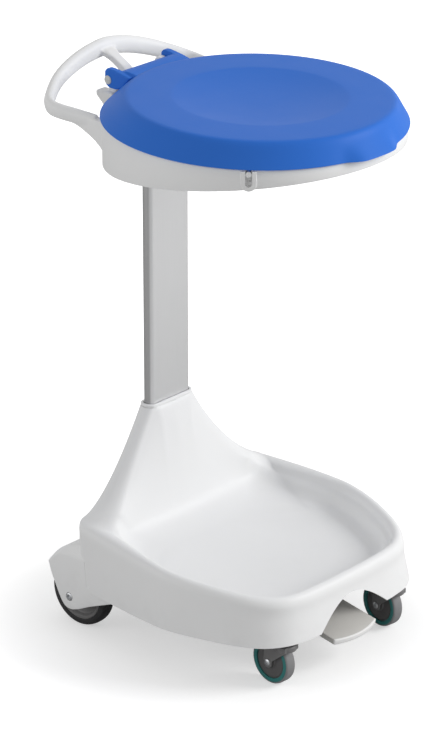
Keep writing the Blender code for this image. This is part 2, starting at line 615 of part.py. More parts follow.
HEAD_BASE_Z = COLUMN_TOP_Z + GAP
HEAD_SLOT = 0.020
RING_SCREW_X = (HEAD_SLOT + half) / 2
HEAD_TOP_Z = RING_FLANGE_Z - GAP
head_outline = [(-half, HEAD_BASE_Z), (half, HEAD_BASE_Z), (half, HEAD_TOP_Z), (HEAD_SLOT, HEAD_TOP_Z),
                (HEAD_SLOT, HEAD_BASE_Z + 0.006), (-HEAD_SLOT, HEAD_BASE_Z + 0.006), (-HEAD_SLOT, HEAD_TOP_Z),
                (-half, HEAD_TOP_Z)]
head = plate("column_head", [head_outline], -COLUMN_DEPTH / 2, COLUMN_DEPTH / 2, DARK, column_place, FACE_ON)
join(head, plate("head_plug", [plug], COLUMN_TOP_Z - PLUG_DEPTH, HEAD_BASE_Z + 0.001, DARK, column_place))
cut(head, rod("head_rod_hole", GUIDE_RADIUS + GAP, (0.0, COLUMN_Y, COLUMN_TOP_Z - PLUG_DEPTH - 0.01),
              (0.0, COLUMN_Y, HEAD_BASE_Z + 0.02), DARK))
for side in (-1, 1):
    tag = "left" if side < 0 else "right"
    cut(head, rod(f"head_hole_{tag}", SCREW_RADIUS + GAP, (side * RING_SCREW_X, COLUMN_Y, RING_TOP_Z),
                  (side * RING_SCREW_X, COLUMN_Y, HEAD_TOP_Z - 0.018), DARK))
    screw_piece(f"ring_screw_{tag}", side * RING_SCREW_X, COLUMN_Y, RING_TOP_Z, 0.019, 0.0055, -1)


def guide(name, low, high):
    """Flanged bush that the push rod slides in, its flange on top."""
    bore, outer = ROD_RADIUS + PLAY, GUIDE_RADIUS
    profile = [(bore, high + 0.002), (outer + 0.0015, high + 0.002), (outer + 0.0015, high + GAP),
               (outer, high + GAP), (outer, low), (bore, low)]
    turned(name, profile, GREY, (0.0, COLUMN_Y, 0.0), steps=16)


guide("rod_guide_lower", COLUMN_FOOT_Z + PLUG_DEPTH - 0.030, COLUMN_FOOT_Z + PLUG_DEPTH)
guide("rod_guide_upper", HEAD_BASE_Z - 0.020, HEAD_BASE_Z + 0.006)

# Push rod: its foot rests over the lever's tail, its head lies just under the lid's heel
HEEL_SLOPE = LID_OPEN / 2
HEAD_CENTRE_Z = HINGE_Z - ((HINGE_Y - COLUMN_Y) * math.sin(HEEL_SLOPE) + ROD_HEAD_RADIUS + 0.001) / math.cos(HEEL_SLOPE)
ROD_TOP_Z = HEAD_CENTRE_Z + 0.001
FOOT_BALL = 0.005
ball = [(FOOT_BALL * math.cos(a), ROD_SEAT_Z + FOOT_BALL + FOOT_BALL * math.sin(a))
        for a in (math.radians(d) for d in (30.0, 0.0, -30.0, -60.0, -90.0))]
ball[-1] = (0.0, ROD_SEAT_Z)
push_rod = turned("push_rod", [(0.0, ROD_TOP_Z), (ROD_RADIUS, ROD_TOP_Z), (ROD_RADIUS, ball[0][1] + 0.001)] + ball,
                  STEEL, (0.0, COLUMN_Y, 0.0), steps=16)
dome = [(ROD_HEAD_RADIUS * math.sin(a), HEAD_CENTRE_Z + ROD_HEAD_RADIUS * math.cos(a))
        for a in (math.radians(d) for d in (0.0, 22.5, 45.0, 67.5, 90.0))]
head_profile = dome + [(ROD_HEAD_RADIUS, HEAD_CENTRE_Z - 0.005), (ROD_RADIUS + GAP, HEAD_CENTRE_Z - 0.005),
                       (ROD_RADIUS + GAP, ROD_TOP_Z + GAP), (0.0, ROD_TOP_Z + GAP)]
rod_head = turned("rod_head", head_profile, DARK, (0.0, COLUMN_Y, 0.0), steps=16)

# Pedal: lever bar on a bracket under the chassis, with the pad on its front end
lever = box("pedal_lever", (-LEVER_HALF_WIDTH, LEVER_FRONT_Y, PIVOT_Z - LEVER_HEIGHT / 2),
            (LEVER_HALF_WIDTH, LEVER_BACK_Y, LEVER_TOP_Z), STEEL)
PIVOT_RADIUS = 0.004
EAR_IN = LEVER_HALF_WIDTH + 0.0008
EAR_OUT = EAR_IN + 0.004
pivot = (PIVOT_Y, PIVOT_Z)
cut(lever, rod("lever_hole", PIVOT_RADIUS + PLAY, (-0.03, *pivot), (0.03, *pivot), STEEL, 20))
bracket_outline = [(-0.030, PLATE_Z - GAP), (0.030, PLATE_Z - GAP), (0.030, PLATE_Z - 0.003),
                   (EAR_OUT, PLATE_Z - 0.004), (EAR_OUT, PIVOT_Z - 0.010), (EAR_IN, PIVOT_Z - 0.010),
                   (EAR_IN, PLATE_Z - 0.005),
                   (-EAR_IN, PLATE_Z - 0.005), (-EAR_IN, PIVOT_Z - 0.010), (-EAR_OUT, PIVOT_Z - 0.010),
                   (-EAR_OUT, PLATE_Z - 0.004), (-0.030, PLATE_Z - 0.003)]
bracket = plate("pedal_bracket", [bracket_outline], -0.013, 0.013, STEEL, (0.0, PIVOT_Y, 0.0), FACE_ON)
cut(bracket, rod("bracket_hole", PIVOT_RADIUS + GAP, (-0.03, *pivot), (0.03, *pivot), STEEL, 20))
PIN_END = EAR_OUT + 0.003
turned("pedal_pivot_pin", [(0.0, PIN_END), (0.006, PIN_END), (0.006, EAR_OUT + GAP), (PIVOT_RADIUS, EAR_OUT + GAP),
                           (PIVOT_RADIUS, -PIN_END), (0.0, -PIN_END)], STEEL, (0.0, *pivot), ALONG_X, 16)
PAD_RISE = math.tan(PAD_TILT)
pad_front = [(x * PAD_HALF_WIDTH, -PAD_BOW * (1.0 - x * x)) for x in (-1 + i / 5 for i in range(11))]
PAD_DEPTH = (PAD_BACK_Y - PAD_FRONT_Y) / math.cos(PAD_TILT)
pad_outline = pad_front + [(PAD_HALF_WIDTH, PAD_DEPTH - 0.008), (PAD_HALF_WIDTH - 0.008, PAD_DEPTH),
                           (-PAD_HALF_WIDTH + 0.008, PAD_DEPTH), (-PAD_HALF_WIDTH, PAD_DEPTH - 0.008)]
pad = plate("pedal_pad", [pad_outline], -PAD_THICKNESS, 0.0, GREY, (0.0, PAD_FRONT_Y, PAD_FRONT_Z),
            (PAD_TILT, 0.0, 0.0))


def pad_under(y):
    return PAD_FRONT_Z + (y - PAD_FRONT_Y) * PAD_RISE - PAD_THICKNESS / math.cos(PAD_TILT)


rib_low = LEVER_TOP_Z + GAP
rib = [(LEVER_FRONT_Y, rib_low), (PAD_BACK_Y - 0.002, rib_low), (PAD_BACK_Y - 0.002, pad_under(PAD_BACK_Y) + 0.002),
       (LEVER_FRONT_Y, pad_under(LEVER_FRONT_Y) + 0.003)]
join(pad, plate("pad_rib", [rib], -LEVER_HALF_WIDTH, LEVER_HALF_WIDTH, GREY, turn=SIDE_ON))
PAD_SCREW_YS = (LEVER_FRONT_Y + 0.014, PAD_BACK_Y - 0.012)
for i, y in enumerate(PAD_SCREW_YS):
    reach = pad_under(y) + 0.003
    for target, label, low in ((lever, "lever", PIVOT_Z - 0.02), (pad, "pad", PIVOT_Z)):
        cut(target, rod(f"{label}_screw_hole_{i}", SCREW_RADIUS + GAP, (0.0, y, low), (0.0, y, reach), STEEL))
    screw_piece(f"pedal_screw_{i + 1}", 0.0, y, PIVOT_Z - LEVER_HEIGHT / 2, reach - PIVOT_Z + LEVER_HEIGHT / 2 - 0.002,
                0.0055)

# Sack ring: a hollow ring open below, deeper at the back, with handle, strut, hinge brackets and side notches
RING_SLOPE = math.atan2(RING_BACK_DEPTH - RING_FRONT_DEPTH, 2 * RING_RADIUS)
ring_low = RING_TOP_Z - RING_BACK_DEPTH - 0.02
ring = sloped(rod("sack_ring", RING_RADIUS, (0.0, RING_Y, ring_low), (0.0, RING_Y, RING_TOP_Z), WHITE, 56))
cut(ring, sloped(plate("ring_hollow", [circle((0.0, RING_Y), RING_RADIUS - RING_WALL, 56),
                                       circle((0.0, MOUTH_Y), MOUTH_RADIUS + RING_WALL, 48)],
                       ring_low - 0.01, RING_FLANGE_Z, WHITE)))
cut(ring, rod("ring_mouth", MOUTH_RADIUS, (0.0, MOUTH_Y, ring_low - 0.01), (0.0, MOUTH_Y, RING_TOP_Z + 0.01), WHITE,
              48))
reach = RING_RADIUS + 0.076
below = box("ring_below", (-reach, -reach, -0.2), (reach, reach, 0.0), WHITE)
below.location = (0.0, RING_Y, RING_TOP_Z - (RING_FRONT_DEPTH + RING_BACK_DEPTH) / 2)
below.location.z -= 0.1 * math.cos(RING_SLOPE)
below.location.y -= 0.1 * math.sin(RING_SLOPE)
below.rotation_euler = (-RING_SLOPE, 0.0, 0.0)
cut(ring, below)

# Handle arms and strut in (y, z), the bar as one bent piece of oval section, (x, y, z, size) along it
ARM_X = HANDLE_HALF_WIDTH - 0.0105
ARM_Y = RING_Y + math.sqrt(RING_RADIUS ** 2 - (ARM_X + ARM_WIDTH / 2) ** 2) - 0.003
ARM = ((ARM_Y, 0.771), (ARM_Y + 0.008, 0.7775), (ARM_Y + 0.017, 0.785), (0.150, 0.7915), (0.168, 0.7995),
       (0.188, 0.8055), (0.195, 0.810), (0.188, 0.814), (0.145, 0.818), (ARM_Y, 0.818))
STRUT = ((0.260, 0.870), (0.250, 0.8675), (0.235, 0.8595), (0.218, 0.850), (0.204, 0.838), (0.1965, 0.826),
         (0.193, 0.816), (0.188, 0.812), (0.184, 0.812), (0.184, 0.798), (0.189, 0.799), (0.200, 0.809), (0.208, 0.822),
         (0.217, 0.834), (0.230, 0.8445), (0.246, 0.8535), (0.260, 0.860))
BAR = ((0.000, 0.000, 0.000, 1.08), (0.026, 0.000, -0.0025, 1.06), (0.0487, -0.0003, -0.0068, 1.04),
       (0.071, -0.0016, -0.0128, 1.02), (0.0936, -0.0047, -0.0201, 1.0), (0.116, -0.0112, -0.0287, 0.97),
       (0.1386, -0.0228, -0.0384, 0.94), (0.1515, -0.032, -0.0445, 0.91), (0.1575, -0.042, -0.048, 0.90),
       (0.1585, -0.058, -0.050, 0.89), (0.153, -0.088, -0.053, 0.88), (0.146, -0.121, -0.057, 0.88))
bar = [(x * HANDLE_HALF_WIDTH / 0.1585, HANDLE_BAR_Y + y, HANDLE_BAR_Z + z, size) for x, y, z, size in BAR]
path = [(-x, y, z, size) for x, y, z, size in reversed(bar[1:])] + bar
join(ring, pipe("handle_bar", path, HANDLE_HALF_DEPTH, HANDLE_HALF_HEIGHT, WHITE),
     plate("handle_strut", [STRUT], -0.010, 0.010, WHITE, turn=SIDE_ON))
LEDGE = ((HINGE_Y - 0.0045, 0.826), (0.222, 0.826), (0.222, 0.818), (0.208, 0.805), (0.186, 0.790), (0.177, 0.790),
         (0.177, RING_TOP_Z - 0.001), (HINGE_Y - 0.0045, RING_TOP_Z - 0.001))
POST = tuple([(HINGE_Y - 0.004, 0.824), (HINGE_Y + 0.012, 0.824)] + arc((HINGE_Y, HINGE_Z), 0.010, 0.0, 180.0, 8))
hinge = (HINGE_Y, HINGE_Z)
for side in (-1, 1):
    tag = "left" if side < 0 else "right"
    for label, outline, inner, outer in (
            ("arm", ARM, ARM_X - ARM_WIDTH / 2, ARM_X + ARM_WIDTH / 2),
            ("ledge", LEDGE, POST_INNER_X, EAR_INNER_X + 0.007),
            ("post", POST, POST_INNER_X, POST_INNER_X + POST_WIDTH)):
        low, high = sorted((side * inner, side * outer))
        join(ring, plate(f"{label}_{tag}", [outline], low, high, WHITE, turn=SIDE_ON))
    cut(ring, rod(f"post_hole_{tag}", HINGE_PIN_RADIUS + GAP, (side * (POST_INNER_X - 0.01), *hinge),
                  (side * (EAR_INNER_X - 0.0005), *hinge), WHITE))
    # The notch's boss lies on the ring's outside, turned to its angle from the front
    spin = side * NOTCH_ANGLE
    notch_turn = (math.pi / 2, 0.0, spin)
    notch_place = (0.0, RING_Y, 0.0)
    notch_top = RING_TOP_Z - RING_TOP_SLOPE * RING_RADIUS * math.cos(NOTCH_ANGLE)
    notch_low = notch_top - 0.020
    boss_outline = [(0.0115, notch_top - 0.0018), (-0.0115, notch_top - 0.0018)]
    boss_outline += arc((0.0, notch_low), 0.0115, 180.0, 360.0, 6)
    join(ring, plate(f"notch_boss_{tag}", [boss_outline], RING_RADIUS - 0.003, RING_RADIUS + 0.004, WHITE,
                     notch_place, notch_turn))
    notch_outline = [(NOTCH_WIDTH / 2, notch_top + 0.01), (-NOTCH_WIDTH / 2, notch_top + 0.01)]
    notch_outline += arc((0.0, notch_low), NOTCH_WIDTH / 2, 180.0, 360.0, 6)
    cut(ring, plate(f"notch_{tag}", [notch_outline], RING_RADIUS - 0.022, RING_RADIUS + 0.02, WHITE, notch_place,
                    notch_turn))
# A level pad under the flange for the column's head, the heel's slot and the screws' sunk seats
join(ring, box("head_pad", (-FOOT_HALF_WIDTH - 0.002, COLUMN_Y - COLUMN_DEPTH / 2 - 0.0015, RING_FLANGE_Z),
               (FOOT_HALF_WIDTH + 0.002, COLUMN_Y + COLUMN_DEPTH / 2 + 0.0015, RING_TOP_Z + 0.003), WHITE))
LUG_HALF_WIDTH = 0.009
MOUTH_BACK_Y = MOUTH_Y + MOUTH_RADIUS + RING_WALL
cut(ring, box("heel_slot", (-LUG_HALF_WIDTH - 0.004, MOUTH_BACK_Y + 0.002, RING_FLANGE_Z - 0.01),
              (LUG_HALF_WIDTH + 0.004, COLUMN_Y + 0.016, RING_TOP_Z + 0.01), WHITE))
for side in (-1, 1):
    for label, radius, low in (("hole", SCREW_RADIUS + GAP, RING_FLANGE_Z - 0.01), ("seat", 0.0065, RING_TOP_Z)):
        cut(ring, rod(f"ring_screw_{label}_{side}", radius, (side * RING_SCREW_X, COLUMN_Y, low),
                      (side * RING_SCREW_X, COLUMN_Y, RING_TOP_Z + 0.02), WHITE))

# Clamping hoop: hangs inside the mouth by its lip, with an arm and a pin in each notch
HOOP_OUTER = MOUTH_RADIUS - 0.0015
HOOP_SEAT_Z = RING_TOP_Z + GAP
hoop_profile = [(HOOP_OUTER - HOOP_WALL, HOOP_SEAT_Z + 0.0025), (MOUTH_RADIUS + 0.004, HOOP_SEAT_Z + 0.0025),
                (MOUTH_RADIUS + 0.004, HOOP_SEAT_Z), (HOOP_OUTER, HOOP_SEAT_Z), (HOOP_OUTER, RING_TOP_Z - HOOP_DEPTH),
                (HOOP_OUTER - HOOP_WALL, RING_TOP_Z - HOOP_DEPTH)]
hoop = turned("sack_hoop", hoop_profile, STEEL, (0.0, MOUTH_Y, 0.0), steps=48)
PIN_RADIUS = NOTCH_WIDTH / 2 - 0.0006
PIN_Z = RING_TOP_Z - 0.002 - PIN_RADIUS
for side in (-1, 1):
    tag = "left" if side < 0 else "right"
    out = Vector((side * math.sin(NOTCH_ANGLE), -math.cos(NOTCH_ANGLE), 0.0))
    middle = Vector((0.0, RING_Y, 0.0))
    start, end = middle + out * (RING_RADIUS - 0.020), middle + out * (RING_RADIUS + 0.003)
    lift = Vector((0.0, 0.0, PIN_Z))
    join(hoop, rod(f"hoop_pin_{tag}", PIN_RADIUS, start + lift, end + lift, STEEL, 16))
    spin = side * NOTCH_ANGLE
    for label, near, far, low, high in (("arm", 0.050, 0.0125, HOOP_SEAT_Z + 0.0003, HOOP_SEAT_Z + 0.0028),
                                        ("riser", 0.018, 0.0125, PIN_Z, HOOP_SEAT_Z + 0.0028)):
        outline = [(-PIN_RADIUS * 0.8, -RING_RADIUS + near), (PIN_RADIUS * 0.8, -RING_RADIUS + near),
                   (PIN_RADIUS * 0.8, -RING_RADIUS + far), (-PIN_RADIUS * 0.8, -RING_RADIUS + far)]
        join(hoop, plate(f"hoop_{label}_{tag}", [outline], low, high, STEEL, middle, (0.0, 0.0, spin)))
pivot_place = Vector((0.0, RING_Y, RING_TOP_Z))
hoop.rotation_euler.x = math.atan(RING_TOP_SLOPE)
hoop.location = pivot_place + hoop.rotation_euler.to_matrix() @ (hoop.location - pivot_place)

# Lid: a turned shell whose top is set forward, with a dish, a front grip, two hinge ears and the heel that the
# rod lifts
# The dish: shares of its radius and of its depth
DISH = ((0.0, 1.0), (0.30, 1.0), (0.52, 0.80), (0.75, 0.47), (0.90, 0.20), (0.975, 0.055))
outer = [(t * LID_DISH_RADIUS, LID_TOP_RISE - LID_DISH_DEPTH * d) for t, d in DISH]
outer += [(LID_DISH_RADIUS + 0.006, LID_TOP_RISE), (LID_RADIUS - 0.055, LID_TOP_RISE),
          (LID_RADIUS - 0.034, LID_TOP_RISE - 0.0002), (LID_RADIUS - 0.0285, LID_TOP_RISE - 0.0014),
          (LID_RADIUS - 0.0245, LID_TOP_RISE - 0.0042), (LID_RADIUS - 0.0215, LID_TOP_RISE - 0.0072),
          (LID_RADIUS - 0.010, 0.0131), (LID_RADIUS, 0.0)]
inner = [(LID_RADIUS - LID_WALL, 0.0), (LID_RADIUS - 0.0145, 0.0135), (LID_RADIUS - 0.029, LID_TOP_RISE - 0.0090),
         (LID_RADIUS - 0.036, LID_TOP_RISE - LID_WALL), (LID_DISH_RADIUS + 0.006, LID_TOP_RISE - LID_WALL)]
inner += [(t * LID_DISH_RADIUS, LID_TOP_RISE - LID_WALL - LID_DISH_DEPTH * d) for t, d in reversed(DISH)]
bm = bmesh.new()
ring_verts = [bm.verts.new((0.0, -radius, rise)) for radius, rise in outer + inner]
edges = [bm.edges.new(pair) for pair in zip(ring_verts, ring_verts[1:])]
bmesh.ops.spin(bm, geom=ring_verts + edges, cent=(0.0, 0.0, 0.0), axis=(0.0, 0.0, 1.0), angle=2 * math.pi, steps=52,
               use_merge=True)
bmesh.ops.remove_doubles(bm, verts=bm.verts, dist=0.00001)
bmesh.ops.recalc_face_normals(bm, faces=bm.faces)
for vert in bm.verts:
    angle = math.atan2(vert.co.x, -vert.co.y)
    if abs(angle) < GRIP_HALF_ANGLE and vert.co.xy.length > LID_RADIUS - 0.030:
        swell = share(GRIP_HALF_ANGLE - abs(angle), 0.0, 0.55 * GRIP_HALF_ANGLE)
        skirt = 1.0 - share(vert.co.z, 0.0, LID_TOP_RISE - 0.009)
        vert.co.xy += vert.co.xy.normalized() * GRIP_REACH * swell * swell * (3.0 - 2.0 * swell) * skirt
    vert.co.y -= LID_LEAN * vert.co.z / LID_TOP_RISE
    vert.co.z += RING_TOP_SLOPE * vert.co.y
lid = add("lid", mesh_from("lid", bm), BLUE, (0.0, RING_Y, LID_RIM_Z))
EAR = ((0.150, 0.858), (0.165, 0.8615), (0.180, 0.864), (0.190, 0.8652), (0.196, 0.8645), (0.1993, 0.860),
       (0.1995, 0.846), (0.197, 0.839), (0.190, 0.835), (0.177, 0.835), (0.166, 0.839), (0.152, 0.854))
BRIDGE = ((0.132, 0.8595), (0.145, 0.8612), (0.158, 0.8632), (0.167, 0.8637), (0.176, 0.862), (0.1800, 0.856),
          (0.1805, 0.840), (0.177, 0.836), (0.166, 0.836), (0.156, 0.847), (0.136, 0.8565))
HEEL_NEAR, HEEL_FAR = 0.047, 0.072
slope_y, slope_z = math.cos(HEEL_SLOPE), math.sin(HEEL_SLOPE)
HEEL = ((HINGE_Y - HEEL_FAR * slope_y, HINGE_Z - HEEL_FAR * slope_z),
        (HINGE_Y - HEEL_NEAR * slope_y, HINGE_Z - HEEL_NEAR * slope_z),
        (HINGE_Y - HEEL_NEAR * slope_y, LID_RIM_Z + LID_TOP_RISE - 0.0002),
        (HINGE_Y - HEEL_FAR * slope_y, LID_RIM_Z + LID_TOP_RISE + 0.0028))
join(lid, plate("lid_heel", [HEEL], -LUG_HALF_WIDTH, LUG_HALF_WIDTH, BLUE, turn=SIDE_ON),
     plate("lid_bridge", [BRIDGE], -EAR_INNER_X - 0.001, EAR_INNER_X + 0.001, BLUE, turn=SIDE_ON))
for side in (-1, 1):
    tag = "left" if side < 0 else "right"
    low, high = sorted((side * EAR_INNER_X, side * EAR_OUTER_X))
    join(lid, plate(f"ear_{tag}", [EAR], low, high, BLUE, turn=SIDE_ON))
    cut(lid, rod(f"ear_hole_{tag}", HINGE_PIN_RADIUS + PLAY, (side * (EAR_INNER_X - 0.005), *hinge),
                 (side * (EAR_OUTER_X + 0.01), *hinge), BLUE, 20))
    along = ALONG_X if side > 0 else ALONG_MINUS_X
    pin = [(0.0, EAR_OUTER_X + 0.002), (0.0055, EAR_OUTER_X + 0.002), (0.0068, EAR_OUTER_X + 0.001),
           (0.0068, EAR_OUTER_X + GAP), (HINGE_PIN_RADIUS, EAR_OUTER_X + GAP),
           (HINGE_PIN_RADIUS, POST_INNER_X - 0.001), (0.0, POST_INNER_X - 0.001)]
    turned(f"hinge_pin_{tag}", pin, GREY, (0.0, *hinge), along, 16)

# Rear wheels: tyre, rim and bush turn on a bolt between the hood's two walls
half_tyre = REAR_TYRE_WIDTH / 2
RIM_RADIUS = REAR_WHEEL_RADIUS - 0.011
BUSH_RADIUS = REAR_AXLE_RADIUS + 0.003
tyre_profile = [(RIM_RADIUS, half_tyre), (REAR_WHEEL_RADIUS - 0.003, half_tyre),
                (REAR_WHEEL_RADIUS, half_tyre - 0.0045), (REAR_WHEEL_RADIUS, 0.0045 - half_tyre),
                (REAR_WHEEL_RADIUS - 0.003, -half_tyre), (RIM_RADIUS, -half_tyre)]
hub_out, hub_in = CHEEK_INNER_X - REAR_WHEEL_X - 0.0006, POCKET_INNER_X - REAR_WHEEL_X + 0.0006
rim_out = RIM_RADIUS - GAP
rim_profile = [(BUSH_RADIUS + GAP, hub_out), (0.014, hub_out), (0.015, 0.005), (rim_out - 0.006, 0.005),
               (rim_out - 0.003, half_tyre - 0.002), (rim_out, half_tyre - 0.002), (rim_out, 0.002 - half_tyre),
               (rim_out - 0.004, 0.002 - half_tyre), (0.014, hub_in), (BUSH_RADIUS + GAP, hub_in)]
bush_profile = [(REAR_AXLE_RADIUS + PLAY, hub_out), (BUSH_RADIUS, hub_out), (BUSH_RADIUS, hub_in),
                (REAR_AXLE_RADIUS + PLAY, hub_in)]
for side in (-1, 1):
    tag = "left" if side < 0 else "right"
    along = ALONG_X if side > 0 else ALONG_MINUS_X
    centre = (side * REAR_WHEEL_X, REAR_AXLE_Y, REAR_WHEEL_RADIUS)
    turned(f"rear_tyre_{tag}", tyre_profile, BLACK, centre, along, 32)
    turned(f"rear_rim_{tag}", rim_profile, DARK, centre, along, 32)
    turned(f"rear_bush_{tag}", bush_profile, GREY, centre, along, 16)
    bolt_end = HOOD_INNER_X - 0.008
    bolt_profile = [(0.0, BOLT_SEAT_X + 0.005), (BOLT_HEAD_RADIUS - 0.001, BOLT_SEAT_X + 0.005),
                    (BOLT_HEAD_RADIUS, BOLT_SEAT_X + 0.004), (BOLT_HEAD_RADIUS, BOLT_SEAT_X + GAP),
                    (REAR_AXLE_RADIUS, BOLT_SEAT_X + GAP), (REAR_AXLE_RADIUS, bolt_end), (0.0, bolt_end)]
    bolt = turned(f"rear_axle_{tag}", bolt_profile, STEEL, (0.0, REAR_AXLE_Y, REAR_WHEEL_RADIUS), along, 16)
    socket = rod(f"bolt_socket_{tag}", 0.0034, (side * (BOLT_SEAT_X + 0.002), *spot),
                 (side * (BOLT_SEAT_X + 0.02), *spot), STEEL, 6)
    cut(bolt, socket)
    nut_profile = [(REAR_AXLE_RADIUS + GAP, HOOD_INNER_X - GAP), (0.0075, HOOD_INNER_X - GAP),
                   (0.0075, HOOD_INNER_X - 0.006), (REAR_AXLE_RADIUS + GAP, HOOD_INNER_X - 0.006)]
    turned(f"rear_nut_{tag}", nut_profile, STEEL, (0.0, REAR_AXLE_Y, REAR_WHEEL_RADIUS), along, 12)

# Front casters: a fork on a kingpin that turns in a socket under the chassis plate, a wheel of three rings
half_wheel = CASTER_WHEEL_WIDTH / 2
BAND_OUT = CASTER_WHEEL_RADIUS - 0.0033
BAND_IN = CASTER_WHEEL_RADIUS - 0.0075
tread_profile = [(BAND_OUT + GAP, half_wheel - 0.001), (CASTER_WHEEL_RADIUS - 0.0015, half_wheel - 0.001),
                 (CASTER_WHEEL_RADIUS, half_wheel - 0.004), (CASTER_WHEEL_RADIUS, 0.004 - half_wheel),
                 (CASTER_WHEEL_RADIUS - 0.0015, 0.001 - half_wheel), (BAND_OUT + GAP, 0.001 - half_wheel)]
band_profile = [(BAND_IN + GAP, half_wheel), (BAND_OUT - 0.001, half_wheel), (BAND_OUT, half_wheel - 0.001),
                (BAND_OUT, 0.001 - half_wheel), (BAND_OUT - 0.001, -half_wheel), (BAND_IN + GAP, -half_wheel)]
hub_profile = [(CASTER_AXLE_RADIUS + PLAY, half_wheel), (0.009, half_wheel), (0.011, half_wheel - 0.002),
               (BAND_IN, half_wheel - 0.002), (BAND_IN, 0.002 - half_wheel), (0.011, 0.002 - half_wheel),
               (0.009, -half_wheel), (CASTER_AXLE_RADIUS + PLAY, -half_wheel)]
axle_z = CASTER_WHEEL_RADIUS
FORK_OUTER = FORK_INNER + FORK_WALL
CHEEK_FORK = [(CASTER_Y - CROWN_RADIUS * 0.75, CROWN_TOP_Z - 0.001), (CASTER_Y - CROWN_RADIUS * 0.75, CROWN_Z),
              (CASTER_AXLE_Y - 0.0085, axle_z + 0.004)]
CHEEK_FORK += arc((CASTER_AXLE_Y, axle_z), 0.0085, 200.0, 340.0, 6)
CHEEK_FORK += [(CASTER_AXLE_Y + 0.0085, axle_z + 0.006), (CASTER_AXLE_Y + 0.006, CROWN_TOP_Z - 0.001)]
KINGPIN_Z = CROWN_TOP_Z - 0.0012
for side in (-1, 1):
    tag = "left" if side < 0 else "right"
    x = side * CASTER_X
    axle = (x, CASTER_AXLE_Y, axle_z)
    swivel = (x, CASTER_Y, 0.0)
    turned(f"caster_tread_{tag}", tread_profile, TREAD, axle, ALONG_X, 28)
    turned(f"caster_band_{tag}", band_profile, TEAL, axle, ALONG_X, 28)
    turned(f"caster_hub_{tag}", hub_profile, DARK, axle, ALONG_X, 28)
    rivet = [(0.0, FORK_OUTER + 0.0018), (0.004, FORK_OUTER + 0.0018), (0.0055, FORK_OUTER + GAP),
             (CASTER_AXLE_RADIUS, FORK_OUTER + GAP), (CASTER_AXLE_RADIUS, -FORK_OUTER - GAP),
             (0.0055, -FORK_OUTER - GAP), (0.004, -FORK_OUTER - 0.0018), (0.0, -FORK_OUTER - 0.0018)]
    turned(f"caster_axle_{tag}", rivet, STEEL, axle, ALONG_X, 16)
    crown_profile = [(0.0, SOCKET_Z - GAP), (0.0105, SOCKET_Z - GAP), (0.0115, CROWN_TOP_Z),
                     (CROWN_RADIUS - 0.002, CROWN_TOP_Z), (CROWN_RADIUS, CROWN_TOP_Z - 0.002), (CROWN_RADIUS, CROWN_Z),
                     (0.0, CROWN_Z)]
    fork = turned(f"caster_fork_{tag}", crown_profile, DARK, swivel, steps=20)
    for label, low, high in (("outer", FORK_INNER, FORK_OUTER), ("inner", -FORK_OUTER, -FORK_INNER)):
        join(fork, plate(f"fork_{label}_{tag}", [CHEEK_FORK], x + low, x + high, DARK, turn=SIDE_ON))
    clear_z = CASTER_WHEEL_RADIUS + 0.002
    cut(fork, rod(f"fork_clear_{tag}", clear_z, (x - FORK_INNER, *axle[1:]), (x + FORK_INNER, *axle[1:]), DARK, 28),
        rod(f"fork_axle_hole_{tag}", CASTER_AXLE_RADIUS + GAP, (x - 0.03, *axle[1:]), (x + 0.03, *axle[1:]), DARK, 20),
        rod(f"fork_pin_hole_{tag}", KINGPIN_RADIUS + GAP, (x, CASTER_Y, KINGPIN_Z - GAP),
            (x, CASTER_Y, SOCKET_Z + 0.01), DARK))
    clip_z = PLATE_TOP_Z + PLAY
    pin = [(0.0, clip_z + 0.004), (KINGPIN_RADIUS - 0.001, clip_z + 0.004), (KINGPIN_RADIUS, clip_z + 0.0025),
           (0.009, clip_z + 0.0025), (0.009, clip_z), (KINGPIN_RADIUS, clip_z), (KINGPIN_RADIUS, KINGPIN_Z),
           (0.0, KINGPIN_Z)]
    turned(f"caster_kingpin_{tag}", pin, STEEL, swivel, steps=16)
    bore = KINGPIN_RADIUS + PLAY
    sleeve = [(bore, PLATE_Z - GAP), (0.0115, PLATE_Z - GAP), (0.0115, PLATE_Z - 0.003), (0.0105, PLATE_Z - 0.003),
              (0.0105, SOCKET_Z), (bore, SOCKET_Z)]
    turned(f"caster_socket_{tag}", sleeve, STEEL, swivel, steps=16)


def axis_point(name, place, pieces, parent=None):
    """An empty on a joint's axis that carries the pieces which move about it."""
    point = bpy.data.objects.new(name, None)
    point.location = place
    PARTS.objects.link(point)
    if parent:
        point.parent = parent
        point.matrix_parent_inverse = parent.matrix_basis.inverted()
    for piece in pieces:
        obj = bpy.data.objects[piece]
        obj.parent = point
        obj.matrix_parent_inverse = point.matrix_basis.inverted()
    return point


axis_point("lid_hinge", (0.0, HINGE_Y, HINGE_Z), ["lid"])
axis_point("pedal_pivot", (0.0, PIVOT_Y, PIVOT_Z), ["pedal_lever", "pedal_pad", "pedal_screw_1", "pedal_screw_2"])
axis_point("rod_slide", (0.0, COLUMN_Y, ROD_SEAT_Z), ["push_rod", "rod_head"])
for side in (-1, 1):
    tag = "left" if side < 0 else "right"
    axis_point(f"rear_spin_{tag}", (side * REAR_WHEEL_X, *REAR_AXLE),
               [f"rear_tyre_{tag}", f"rear_rim_{tag}", f"rear_bush_{tag}"])
    swivel = axis_point(f"caster_swivel_{tag}", (side * CASTER_X, CASTER_Y, CROWN_Z),
                        [f"caster_fork_{tag}", f"caster_kingpin_{tag}", f"caster_axle_{tag}"])
    axis_point(f"caster_spin_{tag}", (side * CASTER_X, CASTER_AXLE_Y, CASTER_WHEEL_RADIUS),
               [f"caster_tread_{tag}", f"caster_band_{tag}", f"caster_hub_{tag}"], swivel)
    swivel.rotation_euler.z = CASTER_TURN[tag]
